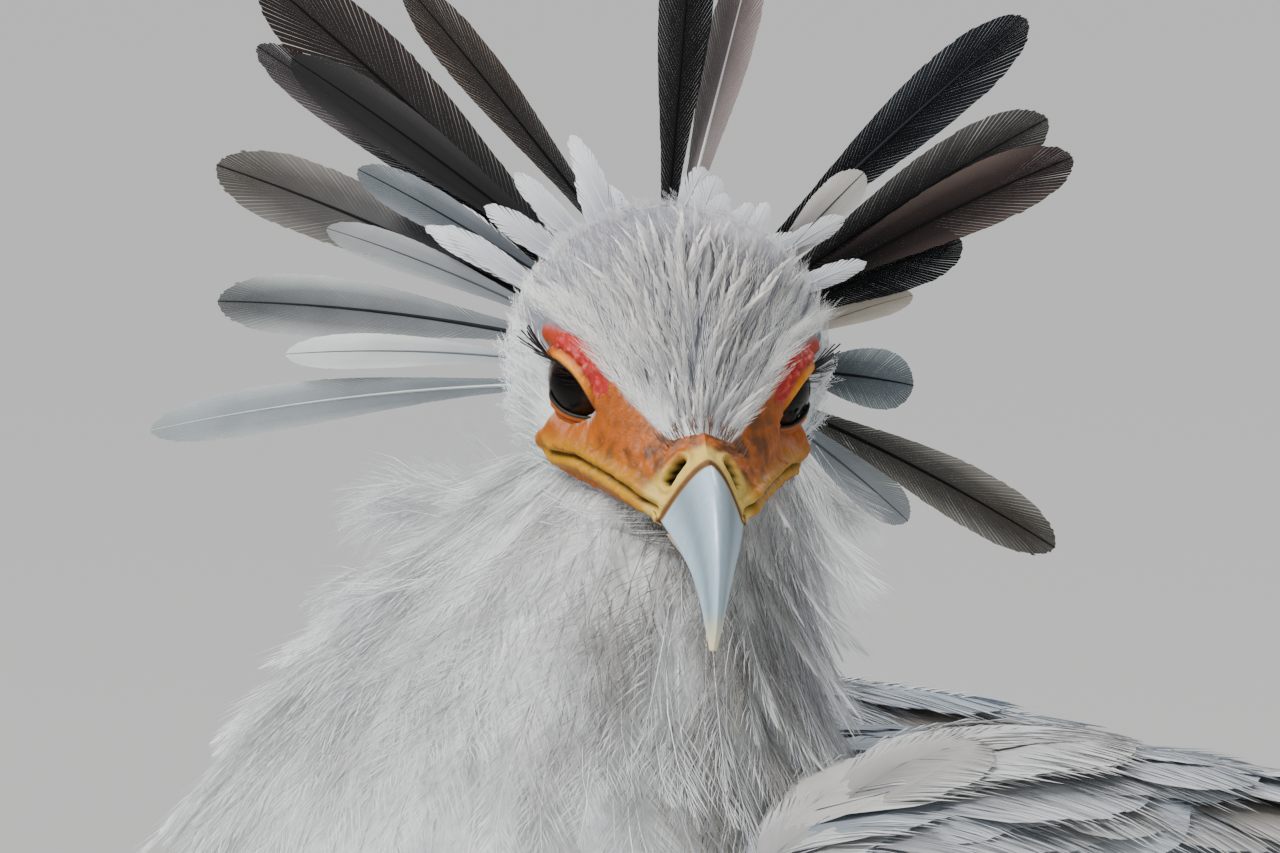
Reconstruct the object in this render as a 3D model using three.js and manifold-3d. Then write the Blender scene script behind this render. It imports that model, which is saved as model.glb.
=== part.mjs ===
// A secretary bird, life size. It stands with its neck drawn in, its head turned to its left and its
// crest fanned out. Units are millimetres. The bird faces -Y, its left side is towards +X, and it stands
// on z = 0.
import * as THREE from "three";
import { mergeVertices } from "three/addons/utils/BufferGeometryUtils.js";
import Module from "manifold-3d";

const wasm = await Module();
wasm.setup();

// Driving dimensions
const GAP = 0.3; // left between pieces that touch
const VANE = 0.8; // thickness of a feather
const HEAD_PLACE = [5, -90, 870]; // midway between the eyes
const FAN_FACES = { azimuth: 55, elevation: 8 }; // degrees from -Y towards +X, and above the horizon
const HEAD_TURN = { yaw: 9.5, pitch: 24, roll: 3 }; // degrees from where the fan faces
const LEG_SHIFT = 4; // moves both legs back, under the weight

// Small helpers
const vec = (x, y, z) => new THREE.Vector3(x, y, z);
const rad = THREE.MathUtils.degToRad;
const lerp = THREE.MathUtils.lerp;
const smooth = (t) => THREE.MathUtils.smoothstep(t, 0, 1);
const mix = (a, x, b, y) => a.clone().multiplyScalar(x).addScaledVector(b, y);

// A seeded draw from 0 to 1 for item i
function draw(i, salt = 0) {
  const s = Math.sin(i * 12.9898 + salt * 78.233 + 3.7) * 43758.5453;
  return s - Math.floor(s);
}

// Rows of numbers, read at t from 0 to 1 on a smooth curve through them
function along(rows, t) {
  const last = rows.length - 1;
  const at = Math.min(Math.max(t, 0), 1) * last;
  const i = Math.min(Math.floor(at), last - 1);
  const u = at - i;
  const [a, b, c, d] = [Math.max(i - 1, 0), i, i + 1, Math.min(i + 2, last)].map((k) => rows[k]);
  return b.map((_, k) => {
    const slope0 = (c[k] - a[k]) / 2;
    const slope1 = (d[k] - b[k]) / 2;
    const rise = c[k] - b[k];
    const square = 3 * rise - 2 * slope0 - slope1;
    const cube = slope0 + slope1 - 2 * rise;
    return b[k] + slope0 * u + square * u * u + cube * u ** 3;
  });
}

const samples = (n) => Array.from({ length: n }, (_, i) => i / (n - 1));

// Solids
function solidOf(points, faces) {
  const flat = new Float32Array(points.flatMap((p) => [p.x, p.y, p.z]));
  let volume = 0;
  const cross = vec(0, 0, 0);
  for (const [a, b, c] of faces) {
    volume += points[a].dot(cross.crossVectors(points[b], points[c]));
  }
  const turned = volume < 0 ? faces.map(([a, b, c]) => [a, c, b]) : faces;
  return new wasm.Manifold(
    new wasm.Mesh({ numProp: 3, vertProperties: flat, triVerts: new Uint32Array(turned.flat()) }),
  );
}

function solidOfGeometry(geometry) {
  geometry.deleteAttribute("normal");
  geometry.deleteAttribute("uv");
  const merged = mergeVertices(geometry, 1e-4);
  return new wasm.Manifold(
    new wasm.Mesh({
      numProp: 3,
      vertProperties: new Float32Array(merged.attributes.position.array),
      triVerts: new Uint32Array(merged.index.array),
    }),
  );
}

// Rings of equally many points, closed by a fan at each end
function loft(rings) {
  const n = rings[0].length;
  const points = rings.flat();
  const faces = [];
  for (let i = 0; i + 1 < rings.length; i++) {
    for (let j = 0; j < n; j++) {
      const [a, b] = [i * n + j, i * n + ((j + 1) % n)];
      faces.push([a, b, b + n], [a, b + n, a + n]);
    }
  }
  for (const [ring, start, flip] of [
    [rings[0], 0, true],
    [rings.at(-1), (rings.length - 1) * n, false],
  ]) {
    const middle = ring.reduce((sum, p) => sum.add(p), vec(0, 0, 0)).divideScalar(n);
    points.push(middle);
    for (let j = 0; j < n; j++) {
      const [a, b] = [start + j, start + ((j + 1) % n)];
      faces.push(flip ? [b, a, points.length - 1] : [a, b, points.length - 1]);
    }
  }
  return solidOf(points, faces);
}

// An oval ring round centre: half width across, and half heights up and down
function oval(centre, across, upwards, half, up, down, sides) {
  return samples(sides + 1)
    .slice(0, sides)
    .map((t) => {
      const a = t * 2 * Math.PI;
      const high = Math.sin(a) * (Math.sin(a) > 0 ? up : down);
      return centre.clone().addScaledVector(across, Math.cos(a) * half).addScaledVector(upwards, high);
    });
}

const join = (solids) => solids.reduce((sum, s) => sum.add(s));
const cut = (solid, tools) => tools.reduce((left, s) => left.subtract(s), solid);
const largest = (solid) => solid.decompose().reduce((a, b) => (b.volume() > a.volume() ? b : a));

// A thin feather along path, its face turned to facing and rolled by some degrees about its own length.
// halves gives the half width at each point, cup bows it across, and wide is how many points it has
// across.
function feather(path, facing, halves, { thick = VANE, cup = 0, wide = 3, roll = 0 } = {}) {
  const n = path.length;
  const rings = path.map((p, i) => {
    const run = path[Math.min(i + 1, n - 1)].clone().sub(path[Math.max(i - 1, 0)]).normalize();
    const side = vec(0, 0, 0).crossVectors(run, facing).normalize().applyAxisAngle(run, rad(roll));
    const out = vec(0, 0, 0).crossVectors(side, run).normalize();
    const row = samples(wide).map((t) => {
      const s = 2 * t - 1;
      return p.clone().addScaledVector(side, s * halves[i]).addScaledVector(out, -cup * halves[i] * s * s);
    });
    const lift = (q, h) => q.clone().addScaledVector(out, h);
    return [...row.map((q) => lift(q, thick / 2)), ...row.reverse().map((q) => lift(q, -thick / 2))];
  });
  const points = rings.flat();
  const size = 2 * wide;
  const faces = [];
  for (let i = 0; i + 1 < n; i++) {
    for (let j = 0; j < size; j++) {
      const [a, b] = [i * size + j, i * size + ((j + 1) % size)];
      if (j < wide) faces.push([a, b, b + size], [a, b + size, a + size]);
      else faces.push([a, b, a + size], [b, b + size, a + size]);
    }
  }
  for (const [start, flip] of [
    [0, true],
    [(n - 1) * size, false],
  ]) {
    for (let j = 0; j + 1 < wide; j++) {
      const [a, b, c, d] = [start + j, start + j + 1, start + size - 2 - j, start + size - 1 - j];
      const end = [
        [a, b, c],
        [a, c, d],
      ];
      faces.push(...(flip ? end.map(([p, q, r]) => [p, r, q]) : end));
    }
  }
  return solidOf(points, faces);
}

// Half widths of a feather that is narrow at its root, widest at `widest` and rounded at its tip
function plume(stations, half, { root = 0.3, widest = 0.6, tip = 0.25 } = {}) {
  return stations.map((t) => {
    if (t < widest) return half * lerp(root, 1, smooth(t / widest));
    const past = (t - widest) / (1 - widest);
    return half * Math.max(tip, Math.sqrt(1 - past ** 2.4));
  });
}

// The frame of the crest's fan, and the head's frame: left, forward and up
function fanFrame() {
  const [a, e] = [rad(FAN_FACES.azimuth), rad(FAN_FACES.elevation)];
  const toward = vec(Math.sin(a) * Math.cos(e), -Math.cos(a) * Math.cos(e), Math.sin(e));
  const right = vec(Math.cos(a), Math.sin(a), 0);
  return { right, up: vec(0, 0, 0).crossVectors(toward, right), toward };
}

function headFrame(fan) {
  const [yaw, pitch, roll] = [HEAD_TURN.yaw, HEAD_TURN.pitch, HEAD_TURN.roll].map(rad);
  const ahead = mix(fan.toward, Math.cos(yaw), fan.right, Math.sin(yaw));
  const aside = mix(fan.right, Math.cos(yaw), fan.toward, -Math.sin(yaw));
  const forward = mix(ahead, Math.cos(pitch), fan.up, -Math.sin(pitch));
  const level = mix(fan.up, Math.cos(pitch), ahead, Math.sin(pitch));
  return {
    left: mix(aside, Math.cos(roll), level, -Math.sin(roll)),
    forward,
    up: mix(level, Math.cos(roll), aside, Math.sin(roll)),
  };
}

const FAN = fanFrame();
const HEAD = headFrame(FAN);
const inHead = (left, forward, up) =>
  vec(...HEAD_PLACE)
    .addScaledVector(HEAD.left, left)
    .addScaledVector(HEAD.forward, forward)
    .addScaledVector(HEAD.up, up);
const inFan = (right, up, back) =>
  vec(...HEAD_PLACE)
    .addScaledVector(FAN.right, right)
    .addScaledVector(FAN.up, up)
    .addScaledVector(FAN.toward, -back);

// Torso: y, height of the middle, half width, reach above and below the middle
const TORSO = [
  [-208, 700, 20, 24, 26],
  [-197, 698, 52, 58, 60],
  [-170, 694, 76, 84, 88],
  [-125, 690, 90, 100, 106],
  [-60, 684, 95, 112, 118],
  [20, 676, 92, 106, 112],
  [90, 664, 80, 94, 96],
  [150, 650, 62, 78, 78],
  [205, 636, 46, 58, 56],
  [246, 625, 33, 38, 34],
  [262, 621, 20, 24, 20],
];

function torso(grow = 0) {
  const rings = samples(14).map((t) => {
    const [y, z, half, up, down] = along(TORSO, t);
    const stretch = t === 0 ? -grow : t === 1 ? grow : 0;
    const centre = vec(0, y + stretch, z);
    return oval(centre, vec(1, 0, 0), vec(0, 0, 1), half + grow, up + grow, down + grow, 22);
  });
  return loft(rings);
}

// Neck, drawn in under loose feathers: height, x, y, half width across and half depth
const NECK = [
  [864, -12, -76, 24, 24],
  [850, -11, -84, 36, 36],
  [834, -9, -98, 44, 43],
  [814, -6, -112, 56, 55],
  [790, -3, -124, 68, 67],
  [765, 0, -126, 77, 76],
  [735, 0, -120, 82, 84],
  [700, 0, -110, 80, 84],
];

function neckCore(grow = 0) {
  const rings = samples(10).map((t) => {
    const [z, x, y, across, deep] = along(NECK, t);
    const stretch = t === 0 ? grow : 0;
    const [half, reach] = [across + grow, deep + grow];
    return oval(vec(x, y, z + stretch), vec(1, 0, 0), vec(0, 1, 0), half, reach, reach, 20);
  });
  return loft(rings);
}

// Locks of loose neck feathers, in rings round the neck: height of the roots, how many, from and to
// (degrees from the bird's left towards its back), length and half width
const RUFF = [
  { height: 842, count: 3, from: 160, to: 320, length: 36, half: 8 },
  { height: 822, count: 4, from: 170, to: 345, length: 42, half: 10 },
  { height: 798, count: 5, from: 195, to: 340, length: 48, half: 13 },
];
const RUFF_LIFT = 10; // how far their tips stand off the neck
const RUFF_THICK = 1.2;

// A point on the neck at a height, turned a degrees from the bird's left towards its back, and lifted by
// lift
function onNeck(height, a, lift) {
  const k = NECK.findIndex((row) => row[0] <= height);
  const u = (NECK[k - 1][0] - height) / (NECK[k - 1][0] - NECK[k][0]);
  const [x, y, across, deep] = [1, 2, 3, 4].map((j) => lerp(NECK[k - 1][j], NECK[k][j], u));
  return vec(x + Math.cos(rad(a)) * (across + lift), y + Math.sin(rad(a)) * (deep + lift), height);
}

function ruff() {
  const wings = [-1, 1].map((side) => wingCore(side, WING_RISE));
  const locks = RUFF.flatMap(({ height, count, from, to, length, half }, row) =>
    samples(count).map((u, i) => {
      const a = lerp(from, to, u) + 12 * (draw(i, row) - 0.5);
      const long = length * (0.85 + 0.3 * draw(i, row + 4));
      const lift = RUFF_LIFT * (0.7 + 0.6 * draw(i, row + 8));
      const path = [0, 0.5, 1].map((s) => onNeck(height - long * s * 0.8, a, lerp(-5, lift, s)));
      const out = vec(Math.cos(rad(a)), Math.sin(rad(a)), 0.8);
      return feather(path, out, [half * 0.6, half, half * 0.25], { thick: RUFF_THICK, wide: 2 });
    }),
  );
  return cut(join(locks), wings);
}

// Head with its feathers: place along the head, half width, height of the widest place, top and bottom,
// and how peaked it is above the widest place (1 is an oval)
const SKULL = [
  [-47, 9, 2, 12, -8, 1],
  [-43, 20, 2, 21, -16, 1],
  [-36, 29, 2, 29, -24, 1],
  [-26, 34, 2, 35, -30, 1],
  [-15, 35.5, 1, 38, -32, 1],
  [-6, 33, -3, 38, -32, 1],
  [2, 29.2, -8, 35, -31, 1],
  [8, 25.8, -10, 29.5, -28, 1.05],
  [14, 22.2, -10.5, 22, -25, 1.15],
  [20, 19.2, -10.5, 14, -22, 1.35],
  [26, 16.2, -10.5, 8, -19.5, 1.6],
  [33, 13, -10.5, 4.4, -17, 1.9],
  [40.7, 9.7, -9.5, 2, -13.6, 2],
];
const ORBIT = { left: 33, forward: 12, up: 0, radius: 11.5 }; // the hollow in front of each eye
const EYE = { left: 17.3, forward: -1.8, up: 2, radius: 11.5, aside: 52, lidThick: 1.5 };
// The lids' opening: half length, reach up and down, and slope in degrees
const LIDS = { half: 9.4, above: 4.9, below: 4.6, tilt: -25.7 };
// The brow: from and to along the opening, height over its middle, how fast it falls to the ends,
// distance from the eye's middle, and its thickness from end to end
const BROW = { from: -10, to: 13.5, over: 8.2, fall: 0.03, out: 12.8, radii: [1.2, 2, 2.3, 2.3, 2, 1.2] };
const MOUTH = [
  [27.6, 4.5, -13],
  [23, 12, -10.6],
  [18.4, 22, -9.9],
  [13.8, 32, -9.8],
  [9.9, 40, -11.2],
];
const MOUTH_GROOVE = { depth: [0.4, 0.9, 0.9, 0.8, 0.8], outwards: 1.2 };
const NOSTRIL = [
  [5.4, 34.6, 3],
  [7.9, 35.6, -0.6],
  [9.4, 36.4, -4.4],
];
const NOSTRIL_RADII = [1, 1.6, 1.3];
const LIP = [1.4, 1.7, 1.7, 1.5, 1]; // thickness along the lips, from the corner of the mouth
const LIPS = [
  [1.5, 1],
  [-1.5, 0.9],
]; // height from the mouth's line and share of that thickness

function skull(grow = 0) {
  const rings = samples(15).map((t) => {
    const [f, half, widest, top, bottom, peak] = along(SKULL, t);
    const stretch = t === 0 ? -grow : t === 1 ? grow : 0;
    return samples(21)
      .slice(0, 20)
      .map((turn) => {
        const a = turn * 2 * Math.PI;
        const [x, y] = [Math.cos(a), Math.sin(a)];
        const across = Math.sign(x) * Math.abs(x) ** (y > 0 ? peak : 1) * half + x * grow;
        const reach = (y > 0 ? top - widest : widest - bottom) + grow;
        return inHead(across, f + stretch, widest + y * reach);
      });
  });
  return loft(rings);
}

// A ball, with its poles along axis
function ball(centre, radius, across = 14, down = 9) {
  const geometry = new THREE.SphereGeometry(radius, across, down);
  geometry.translate(centre.x, centre.y, centre.z);
  return solidOfGeometry(geometry);
}

// A tapered rod through points, with a radius at each
function rod(points, radii, sides = 8) {
  const n = points.length;
  return loft(
    points.map((p, i) => {
      const run = points[Math.min(i + 1, n - 1)].clone().sub(points[Math.max(i - 1, 0)]).normalize();
      const other = Math.abs(run.z) > 0.9 ? vec(0, 1, 0) : vec(0, 0, 1);
      const across = vec(0, 0, 0).crossVectors(run, other).normalize();
      const upwards = vec(0, 0, 0).crossVectors(across, run);
      return oval(p, across, upwards, radii[i], radii[i], radii[i], sides);
    }),
  );
}

// The eye on one side: 1 is the bird's left and -1 its right
function eyeSide(side) {
  const a = rad(EYE.aside);
  const tilt = rad(LIDS.tilt);
  const out = mix(HEAD.left, side * Math.sin(a), HEAD.forward, Math.cos(a));
  const ahead = mix(HEAD.forward, Math.sin(a), HEAD.left, -side * Math.cos(a));
  return {
    centre: inHead(side * EYE.left, EYE.forward, EYE.up),
    out,
    longways: mix(ahead, Math.cos(tilt), HEAD.up, Math.sin(tilt)),
    crossways: mix(HEAD.up, Math.cos(tilt), ahead, -Math.sin(tilt)),
  };
}

// A point from an eye's middle: far out of the head, p along the lids and q across them
const fromEye = ({ centre, out, longways, crossways }, far, p, q) =>
  centre.clone().addScaledVector(out, far).addScaledVector(longways, p).addScaledVector(crossways, q);

// The lids' opening, leaf shaped, run outwards as a prism
function lidOpening(side) {
  const eye = eyeSide(side);
  const edge = [
    ...samples(7).map((t) => [2 * t - 1, LIDS.above]),
    ...samples(7).slice(1, -1).map((t) => [1 - 2 * t, -LIDS.below]),
  ].map(([p, reach]) => [p * LIDS.half, reach * (1 - p * p)]);
  const ring = (far, wider) => edge.map(([p, q]) => fromEye(eye, far, p * wider, q * wider));
  return loft([ring(5, 0.95), ring(24, 1.25)]);
}

// The brow over the eye: a fold from behind the eye to the bare skin in front of it
function brow(side, grow) {
  const eye = eyeSide(side);
  const path = samples(BROW.radii.length).map((t) => {
    const p = lerp(BROW.from, BROW.to, t);
    const q = BROW.over - BROW.fall * p * p;
    const far = Math.sqrt(Math.max(BROW.out ** 2 - p * p * 0.7 - q * q, 20));
    return fromEye(eye, far, p, q);
  });
  return rod(
    path,
    BROW.radii.map((r) => r + grow),
    6,
  );
}

const mouthLine = (side, up) => MOUTH.map(([l, f, u]) => inHead(side * l, f, u + up));

// Crest: where it roots on the nape (degrees clockwise from the top), its tip's place to the right of
// and above the middle of the head, its half width, and how far it leans back. All are seen from where
// the fan faces.
const NAPE = { right: -2, up: 6, across: 25, high: 27, back: 22 };
const CREST = [
  [-98, -118, -8, 5.3, 28],
  [-88, -87, 9, 4, 24],
  [-78, -103, 21, 7, 34],
  [-70, -78, 37, 4, 30],
  [-66, -104, 52, 8.2, 40],
  [-56, -71, 50, 4.6, 26],
  [-52, -95, 79, 5.6, 40],
  [-44, -86, 75, 6, 26],
  [-46, -94, 95, 9.5, 38],
  [-24, -61, 92, 5.4, 30],
  [-2, 4, 111, 6.2, 30],
  [5, 17, 99, 5.4, 38],
  [42, 78, 84, 7, 28],
  [50, 41, 49, 4.5, 24],
  [56, 83, 62, 7.4, 36],
  [61, 88, 53, 7.2, 28],
  [69, 63, 34, 6.2, 32],
  [78, 52, 22, 3, 36],
  [92, 52, 2, 6.8, 30],
  [107, 84, -34, 6.6, 28],
  [112, 51, -28, 5, 34],
];
// Short plumes behind the crown, in the same measures
const CROWN_PLUMES = [
  [-46, -43, 42, 3, 20],
  [-28, -26, 58, 2.8, 18],
  [-18, -14, 47, 2.4, 18],
  [6, 4, 54, 3.6, 24],
  [20, 12, 45, 2.4, 18],
  [30, 18, 40, 2.4, 18],
];
const CREST_STATIONS = [0, 0.3, 0.6, 0.85, 1];

function crestFeather([angle, right, up, half, lean], i, stations) {
  const a = rad(angle);
  const from = [NAPE.right + NAPE.across * Math.sin(a), NAPE.up + NAPE.high * Math.cos(a)];
  const reach = Math.hypot(right - from[0], up - from[1]);
  const back = NAPE.back + reach * Math.tan(rad(lean));
  const root = inFan(...from, NAPE.back - 3 * draw(i, 1));
  const tip = inFan(right, up, back);
  const bow = FAN.up.clone().multiplyScalar(0.05 * reach * Math.sin(a) * (angle > 0 ? 1 : -1));
  const middle = root.clone().lerp(tip, 0.5).add(bow);
  const curve = new THREE.QuadraticBezierCurve3(root, middle, tip);
  const path = stations.map((t) => curve.getPoint(t));
  const halves = plume(stations, half, { root: 0.26, widest: 0.72, tip: 0.3 });
  return feather(path, FAN.toward, halves, { wide: 2 });
}

// The head without its crest and hollows, grown by grow
function face(grow = 0) {
  const orbits = [-1, 1].map((side) => {
    const middle = inHead(side * ORBIT.left, ORBIT.forward, ORBIT.up);
    return ball(middle, ORBIT.radius - grow, 9, 6);
  });
  const forms = [cut(skull(grow), orbits)];
  for (const side of [-1, 1]) {
    forms.push(ball(eyeSide(side).centre, EYE.radius + EYE.lidThick + grow), brow(side, grow));
    for (const [up, size] of LIPS) {
      const radii = LIP.map((r) => r * size + grow);
      forms.push(rod(mouthLine(side, up), radii, 7));
    }
  }
  return join(forms);
}

function head() {
  const hollows = [];
  for (const side of [-1, 1]) {
    const { centre } = eyeSide(side);
    const nostril = NOSTRIL.map(([l, f, u]) => inHead(side * l, f, u));
    const groove = mouthLine(side, 0).map((p, i) =>
      p.addScaledVector(HEAD.left, i ? side * MOUTH_GROOVE.outwards : 0),
    );
    hollows.push(lidOpening(side), ball(centre, EYE.radius + GAP));
    hollows.push(rod(groove, MOUTH_GROOVE.depth, 6), rod(nostril, NOSTRIL_RADII, 6));
  }
  const plumes = [...CREST, ...CROWN_PLUMES].map((row, i) =>
    crestFeather(row, i, i < CREST.length ? CREST_STATIONS : [0, 0.4, 0.75, 1]),
  );
  return cut(join([face(), cut(join(plumes), [neckCore(GAP)])]), hollows);
}

// Bill: along its length, the ridge above (forward, up), the cutting edge below (forward, up) and the
// half width
const UPPER_BILL = [
  [41, 1.8, 41, -12.8, 9.4],
  [48.5, 0.2, 47, -13.6, 8],
  [56, -3.6, 53, -14.6, 6.4],
  [62.4, -9.2, 58.6, -16.6, 4.7],
  [67, -15.8, 63.2, -20.2, 3.2],
  [69.8, -22.4, 67.2, -24.8, 1.9],
  [70.6, -28.4, 69.6, -28.9, 0.8],
];
const LOWER_BILL = [
  [41, -20.6, 41, -14.4, 7.6],
  [46, -20.4, 46, -15, 6.4],
  [51, -20, 51, -16, 4.6],
  [55.5, -19.6, 55.5, -17.8, 2.6],
];

// A ring with a rounded ridge and full at the cutting edge, whose inner side is nearly flat
function billRing([ridgeForward, ridgeUp, edgeForward, edgeUp, half], sides) {
  return samples(sides + 1)
    .slice(0, sides)
    .map((t) => {
      const a = t * 2 * Math.PI;
      const share = ((Math.sin(a) + 1) / 2) ** 1.5;
      const across = Math.sin(a) > -0.6 ? Math.sign(Math.cos(a)) * (1 - share) ** 0.75 : 1.25 * Math.cos(a);
      const forward = lerp(edgeForward, ridgeForward, share) + GAP;
      return inHead(across * half, forward, lerp(edgeUp, ridgeUp, share));
    });
}

const bill = (rows, count, sides) =>
  loft(samples(count).map((t) => billRing(along(rows, t), sides)));

// Folded wing: y, height, distance of the middle from the bird's midline, half thickness and half height
const WING = [
  [-134, 748, 72, 9, 15],
  [-116, 739, 71, 22, 42],
  [-72, 726, 66, 32, 70],
  [-20, 714, 64, 35, 76],
  [40, 701, 62, 33, 74],
  [100, 691, 58, 28, 67],
  [160, 680, 53, 22, 54],
  [220, 666, 47, 16, 39],
  [290, 654, 40, 12, 24],
  [370, 638, 33, 8, 15],
  [450, 612, 27, 5, 8],
];
const WING_END = 0.62; // share of the wing's length that has flesh and small feathers
const WING_RISE = 12; // more than any feather stands out from the wing

function wingRing(side, t, sides, grow = 0) {
  const [y, z, out, thick, high] = along(WING, t);
  const centre = vec(side * out, y, z);
  return oval(centre, vec(side, 0, 0), vec(0, 0, 1), thick + grow, high + grow, high + grow, sides);
}

const wingCore = (side, grow = 0) =>
  loft(samples(8).map((t) => wingRing(side, t * WING_END, 14, grow)));

// A point on the wing's outer face: t along it, turn in degrees from the top (0) over the side (90),
// lifted by lift
function onWing(side, t, turn, lift) {
  const [y, z, out, thick, high] = along(WING, t);
  const a = rad(turn);
  return vec(side * (out + Math.sin(a) * (thick + lift)), y, z + Math.cos(a) * (high + lift));
}

// Tiers of the wing, from the shoulder back: how many feathers, where the first and last are rooted
// (share of the wing's length, turn), the share of the length that they cover, how much shorter the last
// is, half width, rise over the wing, how much higher each lies than the next, degrees it is rolled to
// lie on the next, turn gained, how it is bowed across, and whether it faces straight out
const FLAT = { wide: 2, cup: 0 };
const BOWED = { wide: 3, cup: 0.25 };
const PLAIN_TIER = { step: 0, roll: 0, gain: 0, shorter: 0, bow: FLAT, faces: "wing" };
const tierOf = (count, from, to, run, half, rise, rest) => ({
  ...PLAIN_TIER,
  ...{ count, from, to, run, half, rise },
  ...rest,
});
const SCAPULARS = { step: 1.6, gain: 6 };
const SMALL = { roll: 5, gain: 2, bow: BOWED };
const SECONDARIES = { step: 0.9, roll: 4, gain: -8, shorter: 0.3 };
const PRIMARIES = { step: 1.6, gain: -10, shorter: 0.3, faces: "out" };
const WING_TIERS = [
  tierOf(3, [0.08, -46], [0.17, 4], 0.27, 19, 6, SCAPULARS),
  tierOf(5, [0.04, 26], [0.05, 122], 0.17, 20, 6.4, SMALL),
  tierOf(5, [0.16, 30], [0.16, 130], 0.19, 21, 5.9, { roll: 7 }),
  tierOf(5, [0.28, 22], [0.25, 136], 0.24, 24, 4.2, { roll: 7, gain: -4 }),
  tierOf(5, [0.42, 4], [0.36, 150], 0.36, 24, 1.5, SECONDARIES),
  tierOf(6, [0.53, 68], [0.5, 150], 0.47, 14, -3, PRIMARIES),
];
const ROOT_SUNK = 5; // how deep the roots of the wing's feathers lie

function tier(side, row, number) {
  const stations = [0, 0.4, 0.8, 1];
  return samples(row.count).map((u, i) => {
    const start = lerp(row.from[0], row.to[0], u) + 0.01 * (draw(i, number) - 0.5);
    const turn = lerp(row.from[1], row.to[1], u);
    const length = row.run * (1 - 0.1 * draw(i, number + 9)) * (1 - row.shorter * u);
    const top = row.rise + row.step * (row.count - 1 - i);
    const height = (s) => lerp(-ROOT_SUNK, top, smooth(s * 2));
    const path = stations.map((s) => onWing(side, start + length * s, turn + row.gain * s, height(s)));
    const middle = [start + length / 2, turn + row.gain / 2];
    const outward = onWing(side, ...middle, 10).sub(onWing(side, ...middle, 0)).normalize();
    const facing = row.faces === "wing" ? outward : vec(side, 0, 0);
    const halves = plume(stations, row.half, { root: 0.3, widest: 0.5, tip: 0.4 });
    return feather(path, facing, halves, { ...row.bow, roll: -side * row.roll });
  });
}

function wing(side) {
  const vanes = WING_TIERS.flatMap((row, number) => tier(side, row, number));
  return join([wingCore(side), ...vanes]);
}

// Tail: a cone of coverts and twelve long vanes, the middle pair far the longest. root is where the
// vanes start, vane their thickness and sag how they bend by the square of the distance.
const TAIL = { y: 250, z: 624, slope: 30, vane: 1.1, root: 40, sag: 0.000024 };
const TAIL_CORE = [
  [-14, 24, 22, 20],
  [10, 31, 26, 24],
  [45, 33, 21, 20],
  [90, 31, 13, 13],
  [125, 27, 6, 6],
];
// Each pair of vanes: place from the middle, spread in degrees, length and half width
const TAIL_VANES = [
  [3, 1, 690, 21],
  [8, 3, 420, 22],
  [12, 5, 395, 22],
  [15, 7, 365, 21],
  [18, 9, 330, 20],
  [20, 11, 290, 19],
];
const tailRun = vec(0, Math.cos(rad(TAIL.slope)), -Math.sin(rad(TAIL.slope)));
const tailUp = vec(0, Math.sin(rad(TAIL.slope)), Math.cos(rad(TAIL.slope)));
const inTail = (x, far, high) =>
  vec(x, TAIL.y, TAIL.z).addScaledVector(tailRun, far).addScaledVector(tailUp, high);

function tail() {
  const core = loft(
    samples(6).map((t) => {
      const [far, half, up, down] = along(TAIL_CORE, t);
      return oval(inTail(0, far, 0), vec(1, 0, 0), tailUp, half, up, down, 14);
    }),
  );
  const stations = [0, 0.3, 0.6, 0.88, 1];
  const vanes = TAIL_VANES.flatMap(([x, spread, length, half], tierNumber) =>
    [-1, 1].map((side) => {
      const high = 5 - 2 * tierNumber - (side > 0 ? 1 : 0);
      const path = stations.map((s) => {
        const far = lerp(TAIL.root, length, s);
        const sag = TAIL.sag * far * far * (tierNumber ? 0.4 : 1);
        return inTail(side * (x + Math.tan(rad(spread)) * far * 0.9), far, high - sag);
      });
      const halves = plume(stations, half, { root: 0.35, widest: 0.6, tip: 0.4 });
      return feather(path, tailUp, halves, { thick: TAIL.vane, wide: 2 });
    }),
  );
  return join([core, ...vanes]);
}

// Legs: height, distance from the midline, y, half width and half depth
const THIGH = [
  [652, 42, 6, 12, 26],
  [630, 47, 7, 31, 50],
  [600, 50, 9, 38, 60],
  [560, 52, 12, 37, 56],
  [510, 53, 17, 32, 46],
  [455, 55, 25, 26, 36],
  [405, 56, 33, 20, 26],
  [368, 57, 39, 15, 18],
  [340, 57, 42, 11, 13],
];
const SHANK = [
  [339.4, 57, 42, 9.6, 11.2],
  [328, 57, 43, 10.6, 12.6],
  [317, 57, 43, 11.4, 14],
  [305, 57, 42, 9.8, 12.4],
  [285, 57, 40, 7.4, 9.8],
  [240, 57, 36, 6.5, 8.8],
  [160, 57, 28, 6.2, 8.4],
  [90, 57, 21, 6.3, 8.4],
  [45, 57, 17, 6.9, 9],
  [26, 57, 15, 8.2, 10.4],
  [14.3, 57, 14, 8.8, 10.8],
];
// Scutes down the shank: long is a scute's share of its pitch
const SCUTES = { count: 13, from: 296, to: 30, rise: 0.9, long: 0.86 };
const KNOB_HEIGHTS = [331, 320, 309]; // rings round the ankle joint
const FOOT = { x: 57, y: 12, top: 14 };
const TOES = [
  { name: "middle", turn: 4, length: 66, thick: 6.2 },
  { name: "inner", turn: -36, length: 46, thick: 5.6 },
  { name: "outer", turn: 40, length: 48, thick: 5.4 },
  { name: "hind", turn: 186, length: 27, thick: 5.6 },
];

function column(rows, side, count, sides) {
  return loft(
    samples(count).map((t) => {
      const [z, x, y, across, deep] = along(rows, t);
      return oval(vec(side * x, y + LEG_SHIFT, z), vec(1, 0, 0), vec(0, 1, 0), across, deep, deep, sides);
    }),
  );
}

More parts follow.
